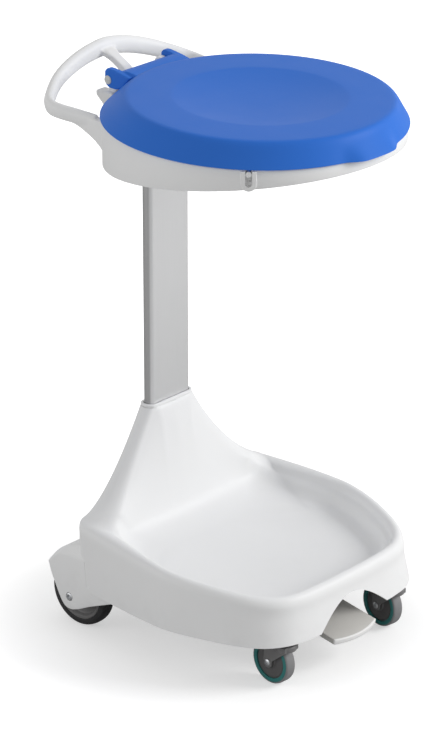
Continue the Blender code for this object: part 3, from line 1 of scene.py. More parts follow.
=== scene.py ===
# %% [markdown]
# # A waste sack holder, dressed for its picture
# The part is a white tray on wheels with a neck, a flat aluminium mast, a sack ring with a push handle
# and a blue lid that a pedal lifts. Its solids come packed, each on the body that it moves with. This
# lesson lays finer pieces over the solids that show, and gives every piece a finish made of nodes.

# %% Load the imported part
import math

import bmesh
import bpy
import numpy as np
from mathutils import Matrix, Vector


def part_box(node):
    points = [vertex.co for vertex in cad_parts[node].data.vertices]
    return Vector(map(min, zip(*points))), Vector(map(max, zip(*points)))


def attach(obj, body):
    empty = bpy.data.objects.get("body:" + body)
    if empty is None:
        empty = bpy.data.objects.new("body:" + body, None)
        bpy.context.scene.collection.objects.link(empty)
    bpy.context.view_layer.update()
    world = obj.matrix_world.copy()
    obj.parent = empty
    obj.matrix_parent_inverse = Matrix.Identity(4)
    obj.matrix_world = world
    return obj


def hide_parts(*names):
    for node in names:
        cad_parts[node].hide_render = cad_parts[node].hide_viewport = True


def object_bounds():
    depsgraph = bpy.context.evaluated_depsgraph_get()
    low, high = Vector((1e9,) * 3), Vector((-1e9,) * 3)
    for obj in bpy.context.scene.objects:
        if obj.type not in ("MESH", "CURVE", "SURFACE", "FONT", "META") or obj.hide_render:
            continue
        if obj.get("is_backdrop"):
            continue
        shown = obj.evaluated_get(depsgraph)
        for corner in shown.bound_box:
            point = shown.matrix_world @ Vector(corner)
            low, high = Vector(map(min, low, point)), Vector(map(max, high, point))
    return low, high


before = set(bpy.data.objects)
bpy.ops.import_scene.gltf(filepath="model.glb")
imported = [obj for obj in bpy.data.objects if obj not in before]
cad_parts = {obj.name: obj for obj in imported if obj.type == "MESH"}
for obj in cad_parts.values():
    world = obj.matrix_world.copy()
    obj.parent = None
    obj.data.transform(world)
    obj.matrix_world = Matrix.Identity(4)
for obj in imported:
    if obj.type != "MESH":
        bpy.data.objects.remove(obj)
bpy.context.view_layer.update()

# %% [markdown]
# ## Writing finishes as formulas
# A finish could be wired node by node, but the wiring hides the idea. Here a small class wraps a
# socket, so that `0.3 + 0.1 * cloud` adds the Math nodes by itself. A second class holds one finish
# and adds any other node. Both use one function, which later also wires the Geometry Nodes and the sky.

# %% Sockets with arithmetic


def feed(tree, socket, value):
    """Links a socket to a field or to another socket, or sets its plain value."""
    source = getattr(value, "socket", value)
    if isinstance(source, bpy.types.NodeSocket):
        tree.links.new(source, socket)
    else:
        socket.default_value = source


def hook(tree, kind, settings=None, *values, **named):
    """Adds a node to any tree: its settings first, then what feeds its sockets, in order or by name."""
    made = tree.nodes.new(kind)
    for key, value in (settings or {}).items():
        setattr(made, key, value)
    for socket, value in zip(made.inputs, values):
        feed(tree, socket, value)
    for key, value in named.items():
        feed(tree, made.inputs[key.replace("_", " ")], value)
    return made


def operator(operation, swapped=False):
    """A method that adds one Math node for an operator."""
    def apply(self, other):
        pair = (other, self) if swapped else (self, other)
        return self.finish.node("ShaderNodeMath", {"operation": operation}, *pair)
    return apply


class Field:
    """A shader value that can be used in a formula: each operator adds one Math node."""
    __add__ = __radd__ = operator("ADD")
    __mul__ = __rmul__ = operator("MULTIPLY")
    __sub__, __rsub__ = operator("SUBTRACT"), operator("SUBTRACT", True)
    __truediv__, __pow__ = operator("DIVIDE"), operator("POWER")

    def __init__(self, finish, socket):
        self.finish, self.socket = finish, socket

    def between(self, low, high):
        """0 below low, 1 above high and a soft step between them."""
        return self.finish.node("ShaderNodeMapRange", {"interpolation_type": "SMOOTHSTEP"}, self, low, high)


class Finish:
    """One material: a Principled shader and the nodes behind it."""

    def __init__(self, name, **plain):
        self.material = bpy.data.materials.new(name)
        self.material.use_nodes = True
        self.tree = self.material.node_tree
        self.shader = self.tree.nodes["Principled BSDF"]
        for socket, value in plain.items():
            self.shader.inputs[socket.replace("_", " ").title()].default_value = value
        self.place = self.node("ShaderNodeTexCoord", out="Object")

    def node(self, kind, settings=None, *values, out=0, **named):
        """Adds a node and gives back one of its outputs."""
        return Field(self, hook(self.tree, kind, settings, *values, **named).outputs[out])

    def cloud(self, scale, detail=2.0, stretch=(1.0, 1.0, 1.0)):
        """Noise from 0 to 1 on the piece's own coordinates; a low stretch draws it out along that axis."""
        place = self.node("ShaderNodeMapping", None, Vector=self.place, Scale=stretch)
        return self.node("ShaderNodeTexNoise", None, Vector=place, Scale=scale, Detail=detail)

    def along(self, axis):
        return self.node("ShaderNodeSeparateXYZ", None, self.place, out=axis)

    def mixed(self, share, first, second):
        """A colour between two others."""
        made = hook(self.tree, "ShaderNodeMix", {"data_type": "RGBA"})
        for index, value in ((0, share), (6, first), (7, second)):
            feed(self.tree, made.inputs[index], value)
        return Field(self, made.outputs[2])

    def wear(self, colour, roughness, height, depth):
        """Feeds the shader: colour and roughness vary over the surface, and height is felt as a bump."""
        bump = self.node("ShaderNodeBump", None, Strength=1.0, Distance=depth, Height=height)
        for socket, value in (("Base Color", colour), ("Roughness", roughness), ("Normal", bump)):
            feed(self.tree, self.shader.inputs[socket], value)
        return self.material


def tint(red, green, blue):
    return (red, green, blue, 1.0)


print("shader helpers ready")

# %% [markdown]
# ## Finishes of the mouldings
# The tray, the ring and the lid are moulded in glossy plastic. Such a skin isn't a flat colour: the
# pigment flows in faint clouds, the polish varies, and the surface has a fine ripple that breaks up
# reflections. Low down, wheels and shoes leave a little grey dust.

# %% White and blue mouldings
FLOOR_DUST, DUST_FROM_Z, DUST_TO_Z = (0.3, 0.29, 0.27), 0.03, 0.16


def moulding(name, pale, deep, dust, gloss, mirror):
    finish = Finish(name, coat_roughness=0.2, coat_weight=0.02)
    finish.shader.inputs["Specular IOR Level"].default_value = mirror
    flow = finish.cloud(5.0, 3.0)
    pigment = finish.mixed(flow, tint(*deep), tint(*pale))
    low = (1.0 - finish.along("Z").between(DUST_FROM_Z, DUST_TO_Z)) * finish.cloud(38.0, 4.0).between(0.45, 0.85)
    colour = finish.mixed(low * dust, pigment, tint(*FLOOR_DUST))
    roughness = gloss + 0.07 * finish.cloud(22.0) + 0.22 * low * dust
    ripple = 0.8 * finish.cloud(160.0) + 0.2 * finish.cloud(900.0)
    return finish.wear(colour, roughness, ripple, 0.00006)


WHITE = moulding("white_moulding", (0.845, 0.847, 0.847), (0.825, 0.828, 0.828), 0.1, 0.4, 0.22)
BLUE = moulding("blue_moulding", (0.034, 0.17, 0.655), (0.03, 0.158, 0.62), 0.0, 0.42, 0.08)
print("mouldings:", WHITE.name, BLUE.name)

# %% [markdown]
# ## Finishes of metal, rubber and the small plastic pieces
# The mast is drawn through a die, so its fine lines run along its length; its narrow sides are painted
# darker, a painted shade. Bolts and rods are zinc plated. Tyres are dull with a little floor dust, and the
# pedal has a fine spark-eroded grain that keeps a shoe from slipping. Its front lip is painted paler, a
# painted highlight: a formula of X and Y marks the bowed edge.

# %% Metals
# The third colour is a painted shade, laid on the mast's narrow sides
EVEN_GRAIN, MAST_GRAIN, PAINTED_SIDE_SHADE = (6.0, 6.0, 6.0), (30.0, 30.0, 0.25), (0.1, 0.1, 0.105)


def drawn_metal(name, pale, deep, roughness, stretch, edge=None):
    finish = Finish(name, metallic=1.0)
    lines = finish.cloud(55.0, 3.0, stretch)
    colour = finish.mixed(lines, tint(*deep), tint(*pale))
    # edge gives two distances from the middle in X; past them the narrow sides are darkened: painted shade
    if edge:
        sides = (finish.along("X") ** 2.0).between(edge[0] ** 2, edge[1] ** 2)
        colour = finish.mixed(0.45 * sides, colour, tint(*PAINTED_SIDE_SHADE))
    return finish.wear(colour, roughness + 0.12 * lines, lines, 0.00003)


# The mast's narrow sides get a painted shade
ALUMINIUM = drawn_metal("drawn_aluminium", (0.76, 0.762, 0.765), (0.7, 0.702, 0.705), 0.34, MAST_GRAIN,
                        (0.0425, 0.0445))
WIRE = drawn_metal("bright_wire", (0.86, 0.865, 0.87), (0.78, 0.785, 0.79), 0.4, EVEN_GRAIN)
ZINC = drawn_metal("zinc_plated_steel", (0.62, 0.63, 0.65), (0.48, 0.49, 0.5), 0.28, EVEN_GRAIN)
print("metals:", ALUMINIUM.name, ZINC.name)

# %% Rubber and grained plastic
# The second colour is a painted highlight for the pedal's front lip
SCUFF, PAINTED_LIP_HIGHLIGHT = (0.33, 0.32, 0.3), (0.84, 0.835, 0.825)


def grained(name, pale, deep, roughness, grain, depth, dust=0.0, lip=None):
    finish = Finish(name)
    tone = finish.mixed(finish.cloud(18.0, 3.0), tint(*deep), tint(*pale))
    # lip marks where a painted highlight lightens the tone
    if lip:
        tone = finish.mixed(lip(finish.along("X"), finish.along("Y")), tone, tint(*PAINTED_LIP_HIGHLIGHT))
    marks = finish.cloud(70.0, 5.0).between(0.5, 0.8)
    colour = finish.mixed(marks * dust, tone, tint(*SCUFF))
    skin = finish.cloud(grain, 2.0)
    return finish.wear(colour, roughness + 0.12 * skin + 0.1 * marks, skin, depth)


TYRE_BLACK = grained("black_tyre_rubber", (0.02, 0.02, 0.021), (0.011, 0.011, 0.012), 0.52, 500.0, 0.00012, 0.05)
TREAD_GREY = grained("grey_tread_rubber", (0.235, 0.235, 0.24), (0.19, 0.19, 0.195), 0.5, 500.0, 0.0001, 0.12)
DARK = grained("dark_grey_plastic", (0.105, 0.102, 0.102), (0.085, 0.083, 0.083), 0.42, 650.0, 0.00008, 0.05)
TEAL = grained("teal_plastic", (0.026, 0.195, 0.185), (0.021, 0.165, 0.157), 0.36, 500.0, 0.00004)
FORK_GREY = grained("fork_grey_plastic", (0.175, 0.172, 0.172), (0.15, 0.147, 0.147), 0.4, 650.0, 0.00006, 0.05)
PAD_HALF, PAD_FRONT_Y, PAD_BOW, LIP_FROM, LIP_TO = 0.049, -0.241, 0.01, 0.0022, 0.0034


def painted_highlight_on_lip(x, y):
    """1 on the pedal's bowed front edge, where a painted highlight goes, and 0 behind it."""
    return 1.0 - (y - PAD_FRONT_Y + PAD_BOW * (1.0 - (x / PAD_HALF) ** 2.0)).between(LIP_FROM, LIP_TO)


# Its bowed front lip gets a painted highlight
PEDAL_GREY = grained("pedal_grey_plastic", (0.62, 0.605, 0.575), (0.58, 0.565, 0.535), 0.36, 800.0, 0.0001, 0.05,
                     painted_highlight_on_lip)
PIN_GREY = grained("pin_grey_plastic", (0.6, 0.615, 0.6), (0.54, 0.555, 0.54), 0.35, 500.0, 0.00004)
print("finishes:", len(bpy.data.materials))

# %% [markdown]
# ## From numbers to meshes
# Most pieces start as a list of points. A curve is drawn smoothly through a few measured points, an
# outline is thickened to a plate, and a finished shape becomes a plain mesh that rides on its body.

# %% Curves and outlines


def through(points, spans):
    """A smooth curve through the rows of points, with so many new points on each span."""
    rows = np.asarray(points, float)
    steps = np.sqrt(np.linalg.norm(np.diff(rows, axis=0), axis=1))
    times = np.concatenate([[0.0], np.cumsum(steps)])
    slopes = np.gradient(rows, times, axis=0)
    counts = [spans] * len(steps) if isinstance(spans, int) else spans
    made = []
    for i, count in enumerate(counts):
        t = np.arange(count)[:, None] / count
        low, high, step = rows[i], rows[i + 1], steps[i]
        made.append(low * (2 * t ** 3 - 3 * t ** 2 + 1) + high * (3 * t ** 2 - 2 * t ** 3)
                    + step * (slopes[i] * (t ** 3 - 2 * t ** 2 + t) + slopes[i + 1] * (t ** 3 - t ** 2)))
    return np.vstack(made + [rows[-1:]])


def arc(centre, radius, start, end, count):
    """Points on an arc between two angles in degrees, both ends included."""
    angles = np.radians(np.linspace(start, end, count + 1))
    return [(centre[0] + radius * math.cos(a), centre[1] + radius * math.sin(a)) for a in angles]


def rounded(half_x, half_y, radius, count=8):
    """A rectangle with rounded corners, as points."""
    points = []
    for sx, sy, start in ((1, 1, 0), (-1, 1, 90), (-1, -1, 180), (1, -1, 270)):
        points += arc((sx * (half_x - radius), sy * (half_y - radius)), radius, start, start + 90, count)
    return points


def share(value, low, high):
    """How far a value lies between two others, from 0 to 1."""
    return np.clip((value - low) / (high - low), 0.0, 1.0)


print("curve helpers ready")

# %% Meshes and modifiers
SIDE_ON = Matrix(((0, 0, 1, 0), (1, 0, 0, 0), (0, 1, 0, 0), (0, 0, 0, 1)))
FACE_ON = Matrix(((1, 0, 0, 0), (0, 0, -1, 0), (0, 1, 0, 0), (0, 0, 0, 1)))
FLAT = Matrix.Identity(4)
TIDY_GAP, SHARP_ANGLE = 0.000005, math.radians(32.0)
# Clearance between two pieces that meet
FIT = 0.0003
SIDES = ((-1, "left"), (1, "right"))


def span(side, inner, outer):
    """Low and high X of a stretch on the left or the right."""
    return sorted((side * inner, side * outer))


def net(rows, count, looped=False):
    """Faces between rows of points that close on themselves; looped joins the last row to the first."""
    return [(r * count + i, r * count + (i + 1) % count, (r + 1) % rows * count + (i + 1) % count,
             (r + 1) % rows * count + i) for r in range(rows if looped else rows - 1) for i in range(count)]


def shape(name, verts, faces=(), edges=()):
    """An object in the scene from plain lists."""
    mesh = bpy.data.meshes.new(name)
    mesh.from_pydata([tuple(map(float, vert)) for vert in verts], list(edges), [list(map(int, f)) for f in faces])
    obj = bpy.data.objects.new(name, mesh)
    bpy.context.scene.collection.objects.link(obj)
    return obj


def built(name, bm):
    """An object from a bmesh, which is then freed."""
    obj = shape(name, [])
    bm.to_mesh(obj.data)
    bm.free()
    return obj


def outwards(obj):
    """Merges doubles and turns all faces outwards."""
    bm = bmesh.new()
    bm.from_mesh(obj.data)
    bmesh.ops.remove_doubles(bm, verts=bm.verts, dist=TIDY_GAP)
    bmesh.ops.recalc_face_normals(bm, faces=bm.faces)
    bm.to_mesh(obj.data)
    bm.free()
    return obj


def slab(name, outline, low, high, turn=FLAT, edge=0.0, rings=3):
    """An outline thickened from low to high; edge rounds all its corners that are sharp."""
    bm = bmesh.new()
    bottom = bm.faces.new([bm.verts.new((x, y, low)) for x, y in outline])
    top = bmesh.ops.extrude_face_region(bm, geom=[bottom])["geom"]
    for vert in (item for item in top if isinstance(item, bmesh.types.BMVert)):
        vert.co.z = high
    bmesh.ops.recalc_face_normals(bm, faces=bm.faces)
    if edge:
        sharp = [e for e in bm.edges if e.calc_face_angle(0.0) > SHARP_ANGLE]
        bmesh.ops.bevel(bm, geom=sharp, offset=edge, segments=rings, profile=0.5, affect="EDGES",
                        clamp_overlap=True)
    obj = built(name, bm)
    obj.data.transform(turn)
    return outwards(obj)


def lofted(name, sections):
    """A skin over outlines with equal numbers of points, its ends capped."""
    rows = np.array(sections)
    total, count = rows.shape[:2]
    ends = [list(range(count)), [(total - 1) * count + i for i in range(count)]]
    return outwards(shape(name, rows.reshape(-1, 3), net(total, count) + ends))


def peg(name, radius, start, end, facets=32):
    """A plain round bar from one point to another, used to cut with or to build up from."""
    start, end = Vector(start), Vector(end)
    bm = bmesh.new()
    bmesh.ops.create_cone(bm, cap_ends=True, segments=facets, radius1=radius, radius2=radius,
                          depth=(end - start).length)
    turn = (end - start).to_track_quat("Z", "Y").to_matrix().to_4x4()
    bm.transform(Matrix.Translation((start + end) / 2) @ turn)
    return built(name, bm)


def settled(obj):
    """The object with its modifiers made part of a plain mesh."""
    graph = bpy.context.evaluated_depsgraph_get()
    mesh = bpy.data.meshes.new_from_object(obj.evaluated_get(graph))
    obj.modifiers.clear()
    obj.data = mesh
    return obj


def modified(obj, kind, **settings):
    step = obj.modifiers.new(kind.lower(), kind)
    for key, value in settings.items():
        setattr(step, key, value)


def carved(obj, cutters, operation="DIFFERENCE"):
    """Cuts, or builds up, with other shapes, which are then removed."""
    for cutter in cutters:
        modified(obj, "BOOLEAN", operation=operation, solver="EXACT", object=cutter)
    settled(obj)
    for cutter in cutters:
        bpy.data.objects.remove(cutter, do_unlink=True)
    return obj


def melted(name, sources, voxel, rounds):
    """Overlapping solids melted into one skin whose inner and outer corners are softly rounded."""
    bm = bmesh.new()
    for source in sources:
        bm.from_mesh(source.data)
        bpy.data.objects.remove(source, do_unlink=True)
    obj = built(name, bm)
    modified(obj, "REMESH", mode="VOXEL", voxel_size=voxel)
    modified(obj, "SMOOTH", factor=0.5, iterations=rounds)
    return settled(obj)


def placed(obj, name, finish, body, stands_for=(), crease=35.0):
    """Names a finished piece, gives it its finish and sets it on its body."""
    obj.name = obj.data.name = name
    obj.data.materials.clear()
    obj.data.materials.append(finish)
    obj.data.shade_smooth()
    obj.data.set_sharp_from_angle(angle=math.radians(crease))
    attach(obj, body)
    if stands_for:
        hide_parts(*stands_for)
    print(f"{name}: {sum(len(p.vertices) - 2 for p in obj.data.polygons)} triangles on {body}")
    return obj


# %% [markdown]
# ## The base moulding
# One shell makes the tray, its rim and the neck that carries the mast. It could be sculpted, but its
# shape follows a rule: each line round it is the rim's outline, set in a little further and a little
# higher or lower. So a few such lines are written down, a smooth skin is drawn through them, mirrored
# and given its wall.

# %% Sizes of the base
HALF_WIDTH, REAR_HALF_WIDTH, WIDEST_Y, RIM_FRONT_Y, FLARE = 0.222, 0.2005, -0.044, -0.2315, 0.009
FLARE_FULL, FLARE_END = 0.03, 0.125
SKIRT_Z, FLOOR_FRONT_Z, FLOOR_BACK_Z = 0.076, 0.112, 0.138
RIM_FRONT_Z, RIM_REAR_Z, RIM_BOW = 0.1445, 0.1825, 0.6
NECK_TOP_Z, NECK_SWEEP, WALL = 0.329, 1.65, 0.004
MAST_Y, MAST_WIDTH, MAST_DEPTH, MAST_CORNER, NECK_LIP = 0.141, 0.09, 0.02, 0.0085, 0.0055
AT_MAST = Matrix.Translation((0.0, MAST_Y, 0.0))
BACK_Y = MAST_Y + MAST_DEPTH / 2 + NECK_LIP
NECK_DEPTH = MAST_DEPTH + 2 * NECK_LIP
NECK_TOP_HALF = MAST_WIDTH / 2 + NECK_LIP + 0.001
NECK_CORNER, REAR_RADIUS = 0.0145, 0.03
SIDE_STEPS, CORNER_STEPS, FAN_STEPS, LEVEL_STEPS = 13, 12, 30, 6
# Lines over the rim and up the neck: inset along the side and at its rear end, distance from the back at
# the foot and at the top of the neck, reach round the neck's corner at foot and top, fall below the rim,
# drop on the neck, rear radius
RIM_LINES = (
    (0.0, 0.0, 0.0, 0.0, 0.03, 0.0145, 0.024, 0.011, 0.03),
    (0.0, 0.0, 0.0, 0.0, 0.03, 0.0145, 0.013, 0.0006, 0.03),
    (0.0012, 0.002, 0.004, 0.0019, 0.015, 0.0073, 0.0075, 0.0001, 0.0285),
    (0.004, 0.006, 0.015, 0.0073, 0.004, 0.0019, 0.0025, 0.0, 0.0245),
    (0.008, 0.012, 0.03, 0.0145, 0.0, 0.0, 0.0, 0.0, 0.018),
    (0.0125, 0.018, 0.04, 0.0165, 0.0, 0.0, 0.0, 0.0, 0.02),
    (0.018, 0.026, 0.052, 0.0268, 0.0064, 0.0042, 0.004, 0.0001, 0.024),
    (0.021, 0.031, 0.058, 0.031, 0.022, 0.0145, 0.012, 0.0006, 0.032))
# Lines down to the tray's floor: inset, inset at the rear end, distance from the back, rise over the floor,
# rear radius
FLOOR_LINES = ((0.028, 0.036, 0.064, 0.022, 0.044), (0.035, 0.045, 0.083, 0.0075, 0.054),
               (0.049, 0.06, 0.112, 0.0, 0.062))
FRONT_PLAN = ((0.0, 0.0), (0.235, 0.003), (0.445, 0.016), (0.595, 0.052), (0.699, 0.122), (0.783, 0.224),
              (0.843, 0.34), (0.891, 0.466), (0.931, 0.592), (0.963, 0.717), (0.987, 0.851), (1.0, 1.0))


def soft(value, low, high):
    """A soft step from 0 to 1."""
    t = share(value, low, high)
    return t * t * (3.0 - 2.0 * t)


def side_half_width(y):
    t = share(y, WIDEST_Y, BACK_Y - REAR_RADIUS)
    return HALF_WIDTH - (HALF_WIDTH - REAR_HALF_WIDTH) * t ** 1.35


def rim_height(y):
    t = share(y, RIM_FRONT_Y, BACK_Y - NECK_DEPTH)
    return RIM_FRONT_Z + (RIM_REAR_Z - RIM_FRONT_Z) * t * (1.0 + RIM_BOW * (1.0 - t))


def floor_height(y):
    front, back = RIM_FRONT_Y + FLOOR_LINES[-1][0], BACK_Y - FLOOR_LINES[-1][2]
    return FLOOR_FRONT_Z + (FLOOR_BACK_Z - FLOOR_FRONT_Z) * (y - front) / (back - front)


def neck_climb(half_width):
    """How far above the rim the neck has narrowed to this half width."""
    t = share(half_width, NECK_TOP_HALF, REAR_HALF_WIDTH)
    return (NECK_TOP_Z - RIM_REAR_Z) * (1.0 - t) ** NECK_SWEEP


def front_line(inset):
    """The left front of the rim's outline, set in along its normals."""
    plan = np.array(FRONT_PLAN) * (-HALF_WIDTH, WIDEST_Y - RIM_FRONT_Y) + (0.0, RIM_FRONT_Y)
    mirrored = np.vstack([plan[1:2] * (-1, 1), plan, plan[-1:] + (0.0, 0.02)])
    line = through(mirrored, 4)[4:-4]
    along = np.gradient(line, axis=0)
    along[0], along[-1] = (-1.0, 0.0), (0.0, 1.0)
    along /= np.linalg.norm(along, axis=1)[:, None]
    return line + np.stack([along[:, 1], -along[:, 0]], 1) * inset(line[:, 1:2])


def half_line(front_inset, side, side_rear, foot, top, rear, end_x):
    """Half of an outline from the front middle to the back middle, and its shares of the neck's foot and flank."""
    rear_y = BACK_Y - foot - rear
    rear_x = -(side_half_width(rear_y) - side_rear - rear)
    front = front_line(front_inset)
    side_y = np.linspace(WIDEST_Y, rear_y, SIDE_STEPS + 1)[1:-1]
    inset = side + (side_rear - side) * soft(side_y, WIDEST_Y, rear_y)
    flank = np.stack([-(side_half_width(side_y) - inset), side_y], 1)
    corner = np.array(arc((rear_x, rear_y), rear, 180.0, 90.0, CORNER_STEPS))
    climb = np.linspace(0.0, 1.0, FAN_STEPS + 1)[1:]
    fan = np.stack([rear_x + (-end_x - rear_x) * climb, BACK_Y - top - (foot - top) * (1.0 - climb) ** 1.8], 1)
    level = np.stack([np.linspace(-end_x, 0.0, LEVEL_STEPS + 1)[1:], np.full(LEVEL_STEPS, BACK_Y - top)], 1)
    before = np.zeros(len(front) + len(flank))
    neck = np.concatenate([before, soft(np.linspace(0, 1, CORNER_STEPS + 1), 0.0, 1.0),
                           np.ones(FAN_STEPS + LEVEL_STEPS)])
    flank_share = np.concatenate([before, np.zeros(CORNER_STEPS + 1), climb, np.ones(LEVEL_STEPS)])
    return np.vstack([front, flank, corner, fan, level]), neck, flank_share


def base_lines():
    """The skirt, the lines over the rim and the lines down to the floor, each with its points from front to back."""
    def flare(y):
        return -FLARE * (1.0 - share(y, RIM_FRONT_Y + FLARE_FULL, RIM_FRONT_Y + FLARE_END))

    flared = half_line(flare, 0.0, 0.0, 0.0, 0.0, REAR_RADIUS, NECK_TOP_HALF - NECK_CORNER)[0]
    lines = [np.column_stack([flared, np.full(len(flared), SKIRT_Z)])]
    for side, side_rear, foot, top, reach, top_reach, fall, drop, rear in RIM_LINES:
        plan, neck, climb = half_line(lambda y: side, side, side_rear, foot, top, rear, NECK_TOP_HALF - top_reach)
        half_width = np.abs(plan[:, 0]) + reach + (top_reach - reach) * climb
        half_width[-LEVEL_STEPS:] = NECK_TOP_HALF
        height = rim_height(plan[:, 1]) * (1.0 - neck) + (RIM_REAR_Z + neck_climb(half_width)) * neck
        lines.append(np.column_stack([plan, height - fall * (1.0 - neck) - drop * neck]))
    for side, side_rear, back, rise, rear in FLOOR_LINES:
        plan = half_line(lambda y: side, side, side_rear, back, back, rear, NECK_TOP_HALF - NECK_CORNER)[0]
        lines.append(np.column_stack([plan, floor_height(plan[:, 1]) + rise]))
    return np.array(lines)


# %% Skin of the base
SPANS = [5, 2, 2, 2, 2, 2, 3, 3, 12, 4, 4]
lines = base_lines()
skin = np.stack([through(lines[:, i], SPANS) for i in range(lines.shape[1])], 1)
rows, columns = skin.shape[:2]
quads = [(r * columns + c, (r + 1) * columns + c, (r + 1) * columns + c + 1, r * columns + c + 1)
         for r in range(rows - 1) for c in range(columns - 1)]
tray_floor = [(rows - 1) * columns + c for c in reversed(range(columns))]
base = shape("base", skin.reshape(-1, 3), quads + [tray_floor])
modified(base, "MIRROR", merge_threshold=0.0001)
modified(base, "SOLIDIFY", thickness=WALL, offset=-1.0, use_even_offset=True, thickness_clamp=1.0)
settled(base)
print("base skin:", rows, "lines of", columns, "points")

# %% [markdown]
# ## Wheel hoods and the pedal's arch
# A hood covers each rear wheel, and its flat cheek carries the axle bolt. The hood's outline grows from
# the cheek's level top to a higher crown over a few millimetres, so it is lofted from one outline to
# the other. Both join the shell, and the wheel's pocket is turned out afterwards. The pedal's arch is a
# cosine curve cut through the front.

# %% Hoods and cuts
CHEEK_TOP = ((0.206, 0.103), (0.193, 0.115), (0.181, 0.1235), (0.16, 0.125), (0.139, 0.125), (0.13, 0.1235))
HOOD_TOP = ((0.209, 0.106), (0.198, 0.119), (0.184, 0.13), (0.165, 0.1385), (0.145, 0.142), (0.13, 0.143))
CHEEK_LOW = ((0.06, SKIRT_Z), (0.074, 0.07), (0.12, 0.051), (0.156, 0.035), (0.171, 0.036), (0.179, 0.044),
             (0.2, 0.085))
CHEEK_OUT, CHEEK_IN, HOOD_IN = REAR_HALF_WIDTH + 0.0005, REAR_HALF_WIDTH - 0.008, 0.147
POCKET_IN, BOLT_HOLE_RADIUS, PAST = HOOD_IN + 0.006, 0.0043, 0.01
REAR_AXLE = (0.163, 0.055)
POCKET_RADIUS, BOLT_SEAT_RADIUS, BOLT_SEAT_X = 0.0605, 0.007, CHEEK_OUT - 0.0035
ARCH_HALF_WIDTH, ARCH_TOP_Z, ARCH_NEAR, ARCH_FAR = 0.078, 0.1155, 0.2, 0.26

cheek_line, crown_line = through(CHEEK_TOP, 4), through(HOOD_TOP, 4)
cheek_low = CHEEK_LOW[:2] + tuple(map(tuple, through(CHEEK_LOW[2:], 3).tolist()))
cheek_outline = cheek_line.tolist() + [(0.126, SKIRT_Z + 0.004), (0.06, SKIRT_Z + 0.004)] + list(cheek_low)
hood_low = np.array([(0.13, 0.047)] + list(cheek_low[11:]))
# Sections of the hood: distance from the cheek's outer face, share of the crown
hood_rows = [(0.0004, 0.0)] + [(0.014 * t, 1.0 - (1.0 - t) ** 1.7) for t in np.linspace(0.08, 1.0, 10)]
hood_rows += [(0.046 + 0.0075 * math.sin(a), 1.0 - 0.5 * (1.0 - math.cos(a)))
              for a in np.radians((0, 25, 50, 70, 85))]
hoods, cuts = [], []
for side in (-1, 1):
    hoods.append(slab("cheek", cheek_outline, *span(side, CHEEK_IN, CHEEK_OUT), SIDE_ON, 0.0012))
    outlines = [(side * (CHEEK_OUT - inset), np.vstack([cheek_line + (crown_line - cheek_line) * rise, hood_low]))
                for inset, rise in hood_rows]
    hoods.append(lofted("hood", [np.column_stack([np.full(len(line), x), line]) for x, line in outlines]))
    for radius, start, end, facets in ((POCKET_RADIUS, POCKET_IN, CHEEK_IN, 72),
                                       (BOLT_HOLE_RADIUS, HOOD_IN - PAST, CHEEK_OUT + PAST, 24),
                                       (BOLT_SEAT_RADIUS, BOLT_SEAT_X, CHEEK_OUT + PAST, 32)):
        cuts.append(peg("cut", radius, (side * start, *REAR_AXLE), (side * end, *REAR_AXLE), facets))
arch = [(x * ARCH_HALF_WIDTH, SKIRT_Z + (ARCH_TOP_Z - SKIRT_Z) * math.cos(math.pi / 2 * x))
        for x in np.linspace(1, -1, 41)]
arch += [(-ARCH_HALF_WIDTH, SKIRT_Z - PAST), (ARCH_HALF_WIDTH, SKIRT_Z - PAST)]
cuts.append(slab("arch", arch, ARCH_NEAR, ARCH_FAR, FACE_ON))
mast_hole = rounded(MAST_WIDTH / 2 + FIT, MAST_DEPTH / 2 + FIT, MAST_CORNER)
cuts.append(slab("mast_hole", mast_hole, NECK_TOP_Z - 0.02, NECK_TOP_Z + 0.02, AT_MAST))
carved(base, hoods, "UNION")
carved(base, cuts)
placed(base, "base_moulding", WHITE, "frame", ["base_shell"])

# %% [markdown]
# ## Mast and neck trim
# The mast is a flat tube with round narrow sides, standing in a thin trim ring on the neck. Both are
# one outline drawn along Z.

# %% Mast and trim
mast_low, mast_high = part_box("column")
MAST_WALL, TRIM_GAP, TRIM_HEIGHT = 0.0022, 0.0015, 0.005


def tube(name, outer, inner, low, high, edge):
    """A hollow bar on the mast's line: one outline inside another."""
    return carved(slab(name, outer, low, high, AT_MAST, edge),
                  [slab("hollow", inner, low - PAST, high + PAST, AT_MAST)])


def mast_line(grow, count=12):
    """The mast's outline, larger or smaller by so much all round."""
    return rounded(MAST_WIDTH / 2 + grow, MAST_DEPTH / 2 + grow, MAST_CORNER + grow, count)


mast = tube("mast", mast_line(0.0), mast_line(-MAST_WALL, 6), mast_low.z, mast_high.z, 0.0)
placed(mast, "mast", ALUMINIUM, "frame", ["column"])
trim = tube("trim", mast_line(NECK_LIP), mast_line(TRIM_GAP), NECK_TOP_Z + FIT, NECK_TOP_Z + TRIM_HEIGHT, 0.0012)
placed(trim, "neck_trim", WHITE, "frame", ["neck_collar"])

# %% [markdown]
# ## Sack ring and push handle
# On the real ring the handle, its strut, the hinge brackets and the ring are one moulding, and its inner
# corners flow into each other. The ring itself has clean edges and is drawn loop by loop. The handle and
# brackets are simple solids, melted into one skin of small cells and smoothed. A backing just inside the
# ring's wall is melted with them: only its soft corners stand out of the wall when both are joined.

